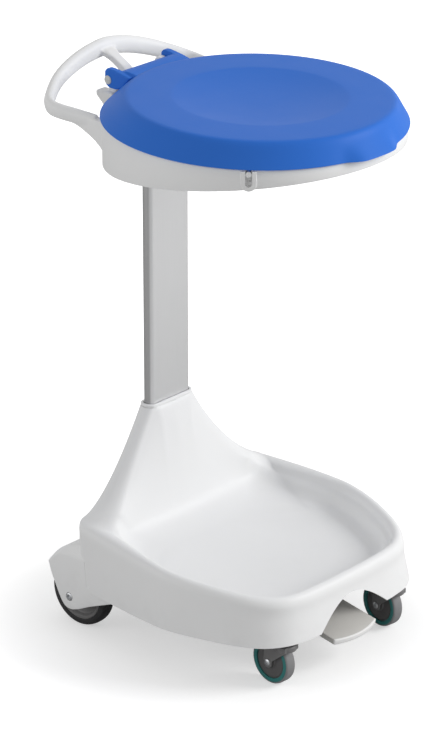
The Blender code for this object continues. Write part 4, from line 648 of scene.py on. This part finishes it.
# %% Solids of the ring
RING_Y, RING_RADIUS, RING_TOP_Z, TOP_SLOPE = -0.037, 0.224, 0.822, 0.027
FRONT_DEPTH, BACK_DEPTH, RING_WALL = 0.024, 0.077, 0.004
MOUTH_Y, MOUTH_RADIUS = -0.07, 0.18
HINGE = (0.1925, 0.8475)
POST_IN, EAR_IN, EAR_OUT = 0.044, 0.057, 0.068
ARM = ((0.1212, 0.771), (0.1292, 0.7775), (0.1382, 0.785), (0.15, 0.7915), (0.168, 0.7995), (0.188, 0.8055),
       (0.195, 0.81), (0.188, 0.814), (0.145, 0.818), (0.1212, 0.818))
STRUT = ((0.26, 0.87), (0.25, 0.8675), (0.235, 0.8595), (0.218, 0.85), (0.204, 0.838), (0.1965, 0.826),
         (0.193, 0.816), (0.188, 0.812), (0.184, 0.812), (0.184, 0.798), (0.189, 0.799), (0.2, 0.809),
         (0.208, 0.822), (0.217, 0.834), (0.23, 0.8445), (0.246, 0.8535), (0.26, 0.86))
BAR_Y, BAR_Z, BAR_HALF_DEPTH, BAR_HALF_HEIGHT = 0.2653, 0.8685, 0.009, 0.0135
BAR = ((0.0, 0.0, 0.0, 1.08), (0.026, 0.0, -0.0025, 1.06), (0.0487, -0.0003, -0.0068, 1.04),
       (0.071, -0.0016, -0.0128, 1.02), (0.0936, -0.0047, -0.0201, 1.0), (0.116, -0.0112, -0.0287, 0.97),
       (0.1386, -0.0228, -0.0384, 0.94), (0.1515, -0.032, -0.0445, 0.91), (0.1575, -0.042, -0.048, 0.9),
       (0.1585, -0.058, -0.05, 0.89), (0.153, -0.088, -0.053, 0.88), (0.146, -0.121, -0.057, 0.88))


def ring_solid(count=240):
    """A channel open below, its top sloping to the front and its walls cut off on a slope of their own."""
    turn = np.linspace(0.0, 2 * math.pi, count, endpoint=False)
    loops = []

    def walk(radius, middle, *rows):
        """Adds loops on one wall: distance into the wall, and height over its lower edge or below the ring's top."""
        for inset, over, under in rows:
            y = middle - (radius + inset) * np.cos(turn)
            depth = FRONT_DEPTH + (BACK_DEPTH - FRONT_DEPTH) * (y - RING_Y + RING_RADIUS) / (2 * RING_RADIUS)
            z = RING_TOP_Z - depth + over if under is None else RING_TOP_Z + TOP_SLOPE * (y - RING_Y) - under
            loops.append(np.column_stack([(radius + inset) * np.sin(turn), y, z]))

    walk(RING_RADIUS, RING_Y, (-0.0012, 0.0, None), (-0.0004, 0.0003, None), (0.0, 0.0013, None), (0.0, 0.0, 0.002),
         (-0.0006, 0.0, 0.0006), (-0.002, 0.0, 0.0))
    walk(MOUTH_RADIUS, MOUTH_Y, (0.002, 0.0, 0.0), (0.0006, 0.0, 0.0006), (0.0, 0.0, 0.002), (0.0, 0.0012, None),
         (0.0012, 0.0, None), (RING_WALL, 0.0, None), (RING_WALL, 0.0, RING_WALL))
    walk(RING_RADIUS, RING_Y, (-RING_WALL, 0.0, RING_WALL), (-RING_WALL, 0.0, None))
    return outwards(shape("ring", np.vstack(loops), net(len(loops), count, True)))


def backing(inner, low, high):
    """A sheet behind the ring's wall, or under its flange, at the back of the ring."""
    outline = arc((0.0, RING_Y), RING_RADIUS - 0.0004, 30.0, 150.0, 60)
    outline += arc((0.0, RING_Y), RING_RADIUS - inner, 150.0, 30.0, 60)
    sheet = slab("backing", outline, low, high)
    for vert in sheet.data.vertices:
        vert.co.z += TOP_SLOPE * (vert.co.y - RING_Y) if vert.co.z > RING_TOP_Z - 0.006 else 0.0
    return sheet


def handle_bar(facets=28):
    """An oval bar along its bent path, its long axis upright."""
    half = np.array(BAR)
    path = through(np.vstack([half[:0:-1] * (-1, 1, 1, 1), half]), 4) + (0.0, BAR_Y, BAR_Z, 0.0)
    along = np.gradient(path[:, :3], axis=0)
    along /= np.linalg.norm(along, axis=1)[:, None]
    across = np.cross(along, (0.0, 0.0, 1.0))
    across /= np.linalg.norm(across, axis=1)[:, None]
    upright = np.cross(across, along)
    turn = np.linspace(0.0, 2 * math.pi, facets, endpoint=False)
    wide = BAR_HALF_DEPTH * np.cos(turn)[None, :, None] * across[:, None]
    tall = BAR_HALF_HEIGHT * np.sin(turn)[None, :, None] * upright[:, None]
    return lofted("bar", path[:, None, :3] + path[:, None, 3:] * (wide + tall))


# %% Melt the ring and cut its notches
NOTCH_ANGLE, NOTCH_RADIUS, BOSS_RADIUS = math.radians(51.5), 0.005, 0.0115
NOTCH_TOP = RING_TOP_Z - TOP_SLOPE * RING_RADIUS * math.cos(NOTCH_ANGLE)
NOTCH_LOW, RING_SCREW_X = NOTCH_TOP - 0.02, 0.0325
LEDGE = ((0.188, 0.826), (0.222, 0.826), (0.222, 0.818), (0.208, 0.805), (0.186, 0.79), (0.177, 0.79),
         (0.177, 0.821), (0.188, 0.821))
POST = [(HINGE[0] - 0.004, 0.822), (HINGE[0] + 0.012, 0.822)] + arc(HINGE, 0.01, 0.0, 180.0, 12)
FLARE_OUTLINE = ((-0.024, 0.016), (-0.014, 0.006), (-0.0105, -0.008), (0.0105, -0.008), (0.014, 0.006),
                 (0.024, 0.016))


def notch_line(radius, top):
    """A slot's outline: straight sides from the top down to a round end."""
    return [(radius, top), (-radius, top)] + arc((0.0, NOTCH_LOW), radius, 180.0, 360.0, 14)


def oblong(half_x, low_y, high_y):
    return [(-half_x, low_y), (half_x, low_y), (half_x, high_y), (-half_x, high_y)]


flare_turn = Matrix.Translation((0.0, 0.2485, 0.8605)) @ Matrix.Rotation(math.radians(24.0), 4, "X")
solids = [handle_bar(), slab("strut", STRUT, -0.0095, 0.0095, SIDE_ON, 0.003),
          slab("flare", FLARE_OUTLINE, -0.004, 0.004, flare_turn), backing(0.0038, 0.761, RING_TOP_Z - 0.0006),
          backing(0.03, RING_TOP_Z - 0.0036, RING_TOP_Z - 0.0006)]
bosses, notches = [], []
for side in (-1, 1):
    for label, outline, inner, outer in (("arm", ARM, 0.1405, 0.1555), ("ledge", LEDGE, POST_IN, EAR_IN + 0.007),
                                         ("post", POST, POST_IN, POST_IN + 0.012)):
        solids.append(slab(label, outline, *span(side, inner, outer), SIDE_ON))
    turn = Matrix.Translation((0.0, RING_Y, 0.0)) @ Matrix.Rotation(side * NOTCH_ANGLE, 4, "Z") @ FACE_ON
    boss = notch_line(BOSS_RADIUS, NOTCH_TOP - 0.0018)
    bosses.append(slab("boss", boss, RING_RADIUS - 0.003, RING_RADIUS + 0.004, turn, 0.0012))
    notch = notch_line(NOTCH_RADIUS, NOTCH_TOP + PAST)
    notches.append(slab("notch", notch, RING_RADIUS - 0.022, RING_RADIUS + 0.02, turn))
pad = slab("pad", oblong(0.047, 0.1295, 0.1525), RING_TOP_Z - RING_WALL, RING_TOP_Z + 0.003)
notches.append(slab("heel_slot", oblong(0.013, 0.116, 0.157), RING_TOP_Z - 0.014, RING_TOP_Z + 0.02))
notches += [peg("seat", 0.0065, (x, MAST_Y, RING_TOP_Z), (x, MAST_Y, RING_TOP_Z + 0.02), 24)
            for x in (-RING_SCREW_X, RING_SCREW_X)]
ring = ring_solid()
carved(ring, [melted("fittings", solids, 0.0017, 6), pad] + bosses, "UNION")
carved(ring, notches)
placed(ring, "sack_ring_moulding", WHITE, "frame", ["sack_ring"], 50.0)

# %% [markdown]
# ## The lid
# The lid is a shallow round shell: a sloping skirt, a flat shoulder and a dished middle, with a
# finger grip at the front. It is turned from a profile; then its top is pushed a little to the front, so
# the skirt is steep there and long at the back, and all of it slopes like the ring's top. The two hinge
# ears and the rib between them are melted first, so that they grow softly out of the skirt.

# %% Shell and ears
LID_RIM_Z, LID_RADIUS, LID_RISE, LID_LEAN, DISH_RADIUS, DISH_DEPTH = 0.8226, 0.227, 0.0355, 0.0105, 0.132, 0.009
GRIP_REACH, GRIP_HALF_ANGLE, LID_WALL = 0.011, math.radians(16.0), 0.0035
DISH = ((0.0, 1.0), (0.2, 0.97), (0.4, 0.86), (0.6, 0.66), (0.8, 0.36), (0.93, 0.12), (0.985, 0.022))
LID_EDGE = ((0.055, 0.0), (0.038, 0.0), (0.0325, 0.0003), (0.0285, 0.0014), (0.025, 0.0039), (0.0215, 0.0075))
LID_OUT = [(t * DISH_RADIUS, LID_RISE - DISH_DEPTH * d) for t, d in DISH] + [(DISH_RADIUS + 0.005, LID_RISE)]
LID_OUT += [(LID_RADIUS - inset, LID_RISE - fall) for inset, fall in LID_EDGE]
LID_OUT += [(LID_RADIUS - 0.01, 0.0131), (LID_RADIUS - 0.0008, 0.0012), (LID_RADIUS, 0.0)]
LID_IN = ((LID_RADIUS - LID_WALL, 0.0), (LID_RADIUS - 0.0145, 0.0135), (LID_RADIUS - 0.029, LID_RISE - 0.009),
          (LID_RADIUS - 0.055, LID_RISE - LID_WALL), (DISH_RADIUS + 0.006, LID_RISE - LID_WALL),
          (DISH_RADIUS * 0.6, LID_RISE - 0.0095), (0.0, LID_RISE - DISH_DEPTH - LID_WALL))
EAR = ((0.15, 0.858), (0.165, 0.8615), (0.18, 0.864), (0.19, 0.8652), (0.196, 0.8645), (0.1993, 0.86),
       (0.1995, 0.846), (0.197, 0.839), (0.19, 0.835), (0.177, 0.835), (0.166, 0.839), (0.152, 0.854))
RIB = ((0.132, 0.8595), (0.145, 0.8612), (0.158, 0.8632), (0.167, 0.8637), (0.176, 0.862), (0.18, 0.856),
       (0.1805, 0.84), (0.177, 0.836), (0.166, 0.836), (0.156, 0.847), (0.136, 0.8565))
HEEL = ((0.13352, 0.8062), (0.154, 0.82054), (0.154, 0.8579), (0.13352, 0.8609))


def lid_shell(count=200):
    profile = np.vstack([through(LID_OUT, 4), LID_IN])
    turn = np.linspace(0.0, 2 * math.pi, count, endpoint=False)
    bend = np.where(turn > math.pi, turn - 2 * math.pi, turn)
    swell = GRIP_REACH * soft(GRIP_HALF_ANGLE - np.abs(bend), 0.0, 0.55 * GRIP_HALF_ANGLE)

    def ring_of(radius, rise):
        skirt = (1.0 - share(rise, 0.0, LID_RISE - 0.009)) if radius > LID_RADIUS - 0.03 else 0.0
        reach = radius + swell * skirt
        y = -reach * np.cos(turn) - LID_LEAN * rise / LID_RISE
        return np.column_stack([reach * np.sin(turn), RING_Y + y, LID_RIM_Z + rise + TOP_SLOPE * y])

    middle = profile[1:-1]
    verts = [ring_of(*row) for row in middle]
    rows = len(middle)
    faces, poles = net(rows, count), [ring_of(*profile[0])[0], ring_of(*profile[-1])[0]]
    for pole, first in ((rows * count, 0), (rows * count + 1, (rows - 1) * count)):
        faces += [(pole, first + i, first + (i + 1) % count) for i in range(count)]
    return outwards(shape("lid", np.vstack(verts + [poles]), faces))


lid = lid_shell()
ears = [slab("rib", RIB, -EAR_IN - 0.001, EAR_IN + 0.001, SIDE_ON)]
holes = []
for side in (-1, 1):
    ears.append(slab("ear", EAR, *span(side, EAR_IN, EAR_OUT), SIDE_ON))
    holes.append(peg("hole", 0.0045, (side * (EAR_IN - 0.005), *HINGE), (side * (EAR_OUT + PAST), *HINGE), 24))
carved(lid, [melted("ears", ears, 0.0011, 5), slab("heel", HEEL, -0.009, 0.009, SIDE_ON, 0.0015)], "UNION")
carved(lid, holes)
placed(lid, "lid_moulding", BLUE, "lid", ["lid"], 40.0)

# %% [markdown]
# ## Turned pieces
# Tyres, rims, bands and pins all follow one rule: a profile swept round an axis. So one Geometry Nodes
# tree is the lathe. It takes the profile as a chain of edges, sweeps it round a circle and closes it.

# %% The lathe


def grow_tree(name, **inputs):
    """A new Geometry Nodes tree with named inputs; gives back the tree and its two ends."""
    tree = bpy.data.node_groups.new(name, "GeometryNodeTree")
    for label, kind in {"Geometry": "Geometry", **inputs}.items():
        tree.interface.new_socket(label, in_out="INPUT", socket_type="NodeSocket" + kind)
    tree.interface.new_socket("Geometry", in_out="OUTPUT", socket_type="NodeSocketGeometry")
    return tree, tree.nodes.new("NodeGroupInput"), tree.nodes.new("NodeGroupOutput")


def grown(obj, tree, **values):
    """Runs an object through a tree and keeps the result as a plain mesh."""
    step = obj.modifiers.new(tree.name, "NODES")
    step.node_group = tree
    for item in tree.interface.items_tree:
        if item.in_out == "INPUT" and item.name in values:
            step[item.identifier] = values[item.name]
    return settled(obj)


LATHE_RADIUS = 0.01
lathe, start, end = grow_tree("lathe", Facets="Int")
profile_line = hook(lathe, "GeometryNodeMeshToCurve", Mesh=start.outputs["Geometry"])
round_line = hook(lathe, "GeometryNodeCurvePrimitiveCircle", Resolution=start.outputs["Facets"],
                  Radius=LATHE_RADIUS)
upright_line = hook(lathe, "GeometryNodeSetCurveNormal", {"mode": "Z_UP"}, Curve=round_line.outputs["Curve"])
swept = hook(lathe, "GeometryNodeCurveToMesh", Curve=upright_line.outputs[0], Profile_Curve=profile_line.outputs[0])
real = hook(lathe, "GeometryNodeRealizeInstances", Geometry=swept.outputs[0])
lathe.links.new(real.outputs[0], end.inputs[0])


def turned(name, profile, turn, facets=64):
    """A piece turned from (radius, height) points, its axis laid where the matrix says."""
    count = len(profile)
    obj = shape(name, [(radius - LATHE_RADIUS, -height, 0.0) for radius, height in profile],
                edges=[(i, (i + 1) % count) for i in range(count)])
    grown(obj, lathe, Facets=facets)
    obj.data.transform(turn)
    return outwards(obj)


def both_faces(half):
    """A profile that is alike on both faces, from its points on one face."""
    return half + [(radius, -height) for radius, height in reversed(half)]


def axle_turn(place, heading=0.0, side=1):
    """Lays a turned piece's axis along X, turned by a heading, with its outer face to the given side."""
    turn = Matrix.Rotation(side * math.pi / 2, 4, "Y")
    return Matrix.Translation(place) @ Matrix.Rotation(heading, 4, "Z") @ turn


print("lathe nodes:", len(lathe.nodes))

# %% [markdown]
# ## Rear wheels
# A black tyre sits on a grey plastic rim with a raised lip. Both are turned, and the bolt's head has a
# hexagon socket. The bolts belong to the frame, the wheels to bodies of their own.

# %% Rear wheels and bolts
REAR_X, TYRE_HALF, TYRE_RADIUS, RIM_RADIUS = 0.168, 0.013, 0.055, 0.044
HUB_PLAY = 0.0006
hub_out, hub_in = CHEEK_IN - REAR_X - HUB_PLAY, POCKET_IN - REAR_X + HUB_PLAY
crown = [(TYRE_RADIUS - 0.0055 * (1 - math.cos(a)) ** 1.2, TYRE_HALF * math.sin(a))
         for a in np.radians(np.linspace(78, -78, 25))]
tyre_foot = [(RIM_RADIUS, 0.012), (RIM_RADIUS + 0.0008, TYRE_HALF)]
TYRE = tyre_foot + crown + both_faces(tyre_foot)[2:]
RIM = [(0.0075, hub_out), (0.013, hub_out), (0.0138, hub_out - 0.0008), (0.015, 0.005), (0.034, 0.005),
       (0.0365, 0.006), (0.0385, 0.0105), (0.0395, 0.0116), (0.042, 0.012), (0.0436, 0.0116), (0.0437, 0.01),
       (0.0437, -0.011), (0.04, -0.011), (0.038, -0.008), (0.014, -0.008), (0.0135, hub_in), (0.0075, hub_in)]
for side, tag in SIDES:
    turn = axle_turn((side * REAR_X, *REAR_AXLE), 0.0, side)
    body = f"rear_wheel_{tag}"
    placed(turned("tyre", TYRE, turn, 96), f"tyre_{tag}", TYRE_BLACK, body, [f"rear_tyre_{tag}"])
    placed(turned("rim", RIM, turn, 96), f"rim_{tag}", FORK_GREY, body, [f"rear_rim_{tag}"])
    seat = BOLT_SEAT_X + FIT
    bolt_line = [(0.0001, seat + 0.0047), (0.0048, seat + 0.0047), (0.0058, seat + 0.0042), (0.0065, seat + 0.003),
                 (0.0065, seat), (0.004, seat), (0.004, HOOD_IN - 0.008), (0.0001, HOOD_IN - 0.008)]
    bolt = turned("bolt", bolt_line, axle_turn((0.0, *REAR_AXLE), 0.0, side), 48)
    socket = peg("socket", 0.0034, (side * (seat + 0.002), *REAR_AXLE), (side * (seat + 0.02), *REAR_AXLE), 6)
    placed(carved(bolt, [socket]), f"axle_bolt_{tag}", ZINC, "frame", [f"rear_axle_{tag}"])

# %% [markdown]
# ## Front casters
# Each caster is a moulded fork on a swivel with a wheel of three rings: a dark disc, a teal band and a
# grey tread. They stand at slightly different angles, as wheels do when a trolley has been rolled.

# %% Casters
CASTER_X, CASTER_Y, TRAIL, WHEEL_RADIUS, WHEEL_HALF, AXLE_BOSS = 0.128, -0.211, 0.0235, 0.036, 0.00975, 0.0085
FORK_IN, FORK_OUT, CROWN_RADIUS, CROWN_Z, CROWN_TOP = 0.01125, 0.01475, 0.017, 0.062, 0.071
HEADING = {"left": math.radians(-3.5), "right": math.radians(-8.0)}
TREAD = both_faces([(0.0333, 0.0088), (0.0345, 0.0088), (0.0354, 0.008), (0.0359, 0.0062), (WHEEL_RADIUS, 0.004)])
BAND = [(0.0274, 0.0092), (0.028, WHEEL_HALF), (0.0323, WHEEL_HALF), (0.0331, 0.0088), (0.0332, -0.0088),
        (0.0323, -WHEEL_HALF), (0.028, -WHEEL_HALF), (0.0274, -0.0092)]
HUB = both_faces([(0.0035, 0.0097), (0.0085, 0.0097), (0.0095, 0.009), (0.011, 0.0078), (0.025, 0.0078),
                  (0.0256, 0.0072), (0.0272, 0.007)])
RIVET = both_faces([(0.0001, 0.0166), (0.0022, 0.0164), (0.004, 0.016), (0.0052, 0.0151), (0.003, 0.01505)])
WHEEL_RINGS = (("tread", TREAD, TREAD_GREY, "grey_rubber"), ("band", BAND, TEAL, "teal_plastic"),
               ("hub", HUB, DARK, "dark_grey_plastic"))
axle_y = CASTER_Y + TRAIL
CHEEK_FORK = [(CASTER_Y - CROWN_RADIUS * 0.75, CROWN_TOP - 0.001), (CASTER_Y - CROWN_RADIUS * 0.75, CROWN_Z),
              (axle_y - AXLE_BOSS, WHEEL_RADIUS + 0.004)] + arc((axle_y, WHEEL_RADIUS), AXLE_BOSS, 200.0, 340.0, 14)
CHEEK_FORK += [(axle_y + AXLE_BOSS, WHEEL_RADIUS + 0.006), (axle_y + 0.006, CROWN_TOP - 0.001)]
for side, tag in SIDES:
    x = side * CASTER_X
    post = Matrix.Translation((x, CASTER_Y, 0.0))
    swivel = post @ Matrix.Rotation(HEADING[tag], 4, "Z") @ Matrix.Translation((-x, -CASTER_Y, 0.0))
    wheel_turn = swivel @ axle_turn((x, axle_y, WHEEL_RADIUS))
    for name, profile, finish, slot in WHEEL_RINGS:
        placed(turned(name, profile, wheel_turn, 72), f"caster_{name}_ring_{tag}", finish, f"caster_wheel_{tag}",
               [f"caster_{name}_{tag}"])
    crown = [(0.0001, 0.0745), (0.01, 0.0745), (0.0113, 0.0712), (CROWN_RADIUS - 0.002, CROWN_TOP),
             (CROWN_RADIUS, CROWN_TOP - 0.002), (CROWN_RADIUS, CROWN_Z), (0.0001, CROWN_Z)]
    pieces = [turned("crown", crown, post, 48)]
    for low, high in ((FORK_IN, FORK_OUT), (-FORK_OUT, -FORK_IN)):
        pieces.append(slab("cheek", CHEEK_FORK, x + low, x + high, SIDE_ON))
    fork = melted("fork", pieces, 0.0009, 3)
    bores = [peg("bore", radius, (x - half, axle_y, WHEEL_RADIUS), (x + half, axle_y, WHEEL_RADIUS), facets)
             for radius, half, facets in ((WHEEL_RADIUS + 0.002, FORK_IN, 72), (0.0033, 0.03, 24))]
    bores.append(peg("pin_bore", 0.0053, (x, CASTER_Y, 0.0695), (x, CASTER_Y, 0.085), 24))
    carved(fork, bores)
    fork.data.transform(swivel)
    placed(fork, f"fork_{tag}", FORK_GREY, f"caster_fork_{tag}", [f"caster_fork_{tag}"])
    placed(turned("rivet", RIVET, wheel_turn, 40), f"wheel_rivet_{tag}", ZINC, f"caster_fork_{tag}",
           [f"caster_axle_{tag}"])

# %% [markdown]
# ## The pedal
# The pedal is a grained plate with a bowed front edge and rounded lips, tilted towards the foot. It
# stands on a rib that is screwed to the lever.

# %% Pedal plate
PAD_BACK_Y, PAD_THICK, PAD_FRONT_Z, PAD_TILT = -0.162, 0.009, 0.056, math.radians(10.8)
PAD_CORNER, LEVER_TOP, LEVER_FRONT, LEVER_HALF = 0.008, 0.051, -0.205, 0.01
pad_depth = (PAD_BACK_Y - PAD_FRONT_Y) / math.cos(PAD_TILT)
pad_line = [(x * PAD_HALF, -PAD_BOW * (1 - x * x)) for x in np.linspace(-1, 1, 33)]
pad_line += [(PAD_HALF, pad_depth - PAD_CORNER), (PAD_HALF - PAD_CORNER, pad_depth),
             (PAD_CORNER - PAD_HALF, pad_depth), (-PAD_HALF, pad_depth - PAD_CORNER)]
pad_turn = Matrix.Translation((0.0, PAD_FRONT_Y, PAD_FRONT_Z)) @ Matrix.Rotation(PAD_TILT, 4, "X")
pad = slab("pad", pad_line, -PAD_THICK, 0.0, pad_turn, 0.0016)


def pad_under(y):
    """Height of the pad's underside."""
    return PAD_FRONT_Z + (y - PAD_FRONT_Y) * math.tan(PAD_TILT) - PAD_THICK / math.cos(PAD_TILT)


rib_low = LEVER_TOP + FIT
rib = [(LEVER_FRONT, rib_low), (PAD_BACK_Y - 0.002, rib_low), (PAD_BACK_Y - 0.002, pad_under(PAD_BACK_Y) + 0.002),
       (LEVER_FRONT, pad_under(LEVER_FRONT) + 0.003)]
carved(pad, [slab("rib", rib, -LEVER_HALF, LEVER_HALF, SIDE_ON)], "UNION")
placed(pad, "pedal_plate", PEDAL_GREY, "pedal", ["pedal_pad"])

# %% [markdown]
# ## Hinge pins and clamping hoop
# The lid turns on two grey pins with domed ends. Inside the ring's mouth hangs a steel hoop that holds
# the sack, and its pins rest in the ring's notches. Its solid is right and keeps its place.

# %% Hinge pins
for side, tag in SIDES:
    head = EAR_OUT + FIT
    pin = [(0.0001, head + 0.0019), (0.003, head + 0.0018), (0.0054, head + 0.0014), (0.0066, head + 0.0007),
           (0.0068, head), (0.004, head), (0.004, POST_IN - 0.001), (0.0001, POST_IN - 0.001)]
    placed(turned("pin", pin, axle_turn((0.0, *HINGE), 0.0, side), 40), f"hinge_peg_{tag}", PIN_GREY, "frame",
           [f"hinge_pin_{tag}"])

# %% [markdown]
# ## Screws
# Ten screws hold the plates, the mast's ends and the pedal. They are alike apart from their length and
# direction, so a second tree makes one head and one shank and sets them on points. Each point carries
# its length and its direction as attributes.

# %% Screws on points
HEAD_RADIUS, HEAD_HEIGHT, SHANK_RADIUS = 0.0055, 0.003, 0.003
SLOT_LONG, SLOT_WIDE, SLOT_DEEP = 0.006, 0.0012, 0.002
screws, start, end = grow_tree("screws")


def lifted(part, height):
    return hook(screws, "GeometryNodeTransform", Geometry=part.outputs[0], Translation=(0.0, 0.0, height))


head = hook(screws, "GeometryNodeMeshCylinder", Vertices=24, Radius=HEAD_RADIUS, Depth=HEAD_HEIGHT)
crossed = hook(screws, "GeometryNodeMeshBoolean", {"operation": "DIFFERENCE"})
screws.links.new(lifted(head, -HEAD_HEIGHT / 2).outputs[0], crossed.inputs[0])
for size in ((SLOT_LONG, SLOT_WIDE, SLOT_DEEP), (SLOT_WIDE, SLOT_LONG, SLOT_DEEP)):
    groove = hook(screws, "GeometryNodeMeshCube", Size=size)
    screws.links.new(lifted(groove, -HEAD_HEIGHT).outputs[0], crossed.inputs[1])
shank = hook(screws, "GeometryNodeMeshCylinder", Vertices=16, Radius=SHANK_RADIUS, Depth=1.0)
reach, facing = (hook(screws, "GeometryNodeInputNamedAttribute", {"data_type": "FLOAT"}, Name=label)
                 for label in ("reach", "facing"))
tilt = hook(screws, "ShaderNodeCombineXYZ", X=facing.outputs[0])
stretch = hook(screws, "ShaderNodeCombineXYZ", X=1.0, Y=1.0, Z=reach.outputs[0])
together = hook(screws, "GeometryNodeJoinGeometry")
for part, feeds in ((crossed, {}), (lifted(shank, 0.5), {"Scale": stretch.outputs[0]})):
    put = hook(screws, "GeometryNodeInstanceOnPoints", Points=start.outputs["Geometry"], Instance=part.outputs[0],
               Rotation=tilt.outputs[0], **feeds)
    screws.links.new(put.outputs[0], together.inputs[0])
real = hook(screws, "GeometryNodeRealizeInstances", Geometry=together.outputs[0])
screws.links.new(real.outputs[0], end.inputs[0])


def screw_set(name, rows, body, stands_for):
    """Screws at (x, y, z of the seat, reach, turn about X)."""
    obj = shape(name, [row[:3] for row in rows])
    for label, column in (("reach", 3), ("facing", 4)):
        obj.data.attributes.new(label, "FLOAT", "POINT").data.foreach_set("value", [row[column] for row in rows])
    placed(grown(obj, screws), name, ZINC, body, stands_for)


PLATE_Z, FOOT_SCREW_X = 0.092, 0.03
under_plate = [(x, y, PLATE_Z - FIT, 0.016, 0.0) for x in (-0.12, 0.12) for y in (-0.15, 0.03)]
under_plate += [(side * FOOT_SCREW_X, MAST_Y, PLATE_Z - FIT, 0.018, 0.0) for side in (-1, 1)]
on_ring = [(side * RING_SCREW_X, MAST_Y, RING_TOP_Z + FIT, 0.019, math.pi) for side in (-1, 1)]
screw_set("frame_screws", under_plate + on_ring, "frame", [f"base_screw_{i}" for i in (1, 2, 3, 4)]
          + [f"{where}_screw_{tag}" for where in ("foot", "ring") for tag in ("left", "right")])
pedal_rows = [(0.0, y, 0.0387, pad_under(y) + 0.003 - 0.039 - 0.002, 0.0)
              for y in (LEVER_FRONT + 0.014, PAD_BACK_Y - 0.012)]
screw_set("pedal_screws", pedal_rows, "pedal", ["pedal_screw_1", "pedal_screw_2"])

# %% [markdown]
# ## Finishes for the solids that stay
# The linkage inside base and mast, the plate under the tray and the hoop show only from below or with
# the lid open. Their solids are right as they are and only change their finish.

# %% Solids that stay
KEPT = {ZINC: ["chassis_plate", "push_rod", "pedal_lever", "pedal_bracket", "pedal_pivot_pin"], WIRE: ["sack_hoop"],
        DARK: ["column_foot", "column_head", "rod_head"], PIN_GREY: ["rod_guide_lower", "rod_guide_upper"]}
for tag in ("left", "right"):
    KEPT[ZINC] += [f"rear_nut_{tag}", f"caster_kingpin_{tag}", f"caster_socket_{tag}"]
    KEPT[PIN_GREY].append(f"rear_bush_{tag}")
for finish, names in KEPT.items():
    for name in names:
        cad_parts[name].material_slots[0].material = finish
print("solids kept:", sum(map(len, KEPT.values())))

# %% [markdown]
# ## Floor, light and camera
# The picture was taken on a white sweep in a studio that is darker at its sides. The floor takes the
# shadow and glows a little for the camera alone, more so further out, until it is white. The sky is white
# for the camera and in reflections and dimmer as a light. A large soft lamp in front on the right models
# the shapes, and a weak one behind on the left opens their shaded side.

# %% Floor
FLOOR_HALF, FLOOR_GLOW, WHITE_FROM, WHITE_AT = 14.0, 0.5, 0.24, 0.6
floor = shape("floor", [(x, y, 0.0) for x, y in oblong(FLOOR_HALF, -FLOOR_HALF, FLOOR_HALF)], [(0, 1, 2, 3)])
sweep = Finish("white_sweep", roughness=0.9)
seen = sweep.node("ShaderNodeLightPath", out="Is Camera Ray")
distance = sweep.node("ShaderNodeVectorMath", {"operation": "LENGTH"}, sweep.place, out="Value")
away = distance.between(WHITE_FROM, WHITE_AT)
sweep.shader.inputs["Base Color"].default_value = tint(0.62, 0.62, 0.62)
sweep.shader.inputs["Specular IOR Level"].default_value = 0.0
glow = sweep.mixed(seen * (FLOOR_GLOW + (1.0 - FLOOR_GLOW) * away), tint(0.0, 0.0, 0.0), tint(1.0, 1.0, 1.0))
feed(sweep.tree, sweep.shader.inputs["Emission Color"], glow)
sweep.shader.inputs["Emission Strength"].default_value = 1.0
floor.data.materials.append(sweep.material)
floor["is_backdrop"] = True

# %% Sky and lamps
SKY_LEVEL = 0.5
world = bpy.data.worlds.new("white_studio")
world.use_nodes = True
bpy.context.scene.world = world
sky = world.node_tree
rays = hook(sky, "ShaderNodeLightPath")
shown = rays.outputs["Is Camera Ray"]
for label in ("Is Glossy Ray", "Is Transmission Ray"):
    shown = hook(sky, "ShaderNodeMath", {"operation": "MAXIMUM"}, shown, rays.outputs[label]).outputs[0]
level = hook(sky, "ShaderNodeMapRange", Value=shown, To_Min=SKY_LEVEL, To_Max=1.0)
sky.links.new(level.outputs[0], sky.nodes["Background"].inputs["Strength"])
sky.nodes["Background"].inputs["Color"].default_value = tint(1.0, 1.0, 1.0)


def soft_lamp(name, place, aim, size, watts):
    lamp = bpy.data.lights.new(name, "AREA")
    lamp.size, lamp.energy = size, watts
    obj = bpy.data.objects.new(name, lamp)
    obj.location = place
    obj.rotation_euler = (Vector(aim) - Vector(place)).to_track_quat("-Z", "Y").to_euler()
    bpy.context.scene.collection.objects.link(obj)


soft_lamp("front_right_lamp", (2.4, -3.0, 2.4), (0.0, 0.0, 0.4), 2.0, 124.0)
soft_lamp("back_left_lamp", (-3.0, 1.6, 1.4), (0.0, 0.0, 0.4), 2.0, 21.0)
bpy.context.scene.view_settings.view_transform = "Standard"

# %% Camera
LENS, LONG_SIDE = 174.4, 36.0
EYE, TARGET = Vector((-3.8337, -3.3324, 2.4885)), Vector((0.0, 0.032, 0.3965))
camera = bpy.data.cameras.new("camera")
camera.sensor_fit, camera.sensor_height, camera.lens = "VERTICAL", LONG_SIDE, LENS
camera_object = bpy.data.objects.new("camera", camera)
camera_object.location = EYE
camera_object.rotation_euler = (TARGET - EYE).to_track_quat("-Z", "Y").to_euler()
bpy.context.scene.collection.objects.link(camera_object)
bpy.context.scene.camera = camera_object

# %% The visual box
low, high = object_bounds()
print("visual box:", low, high)
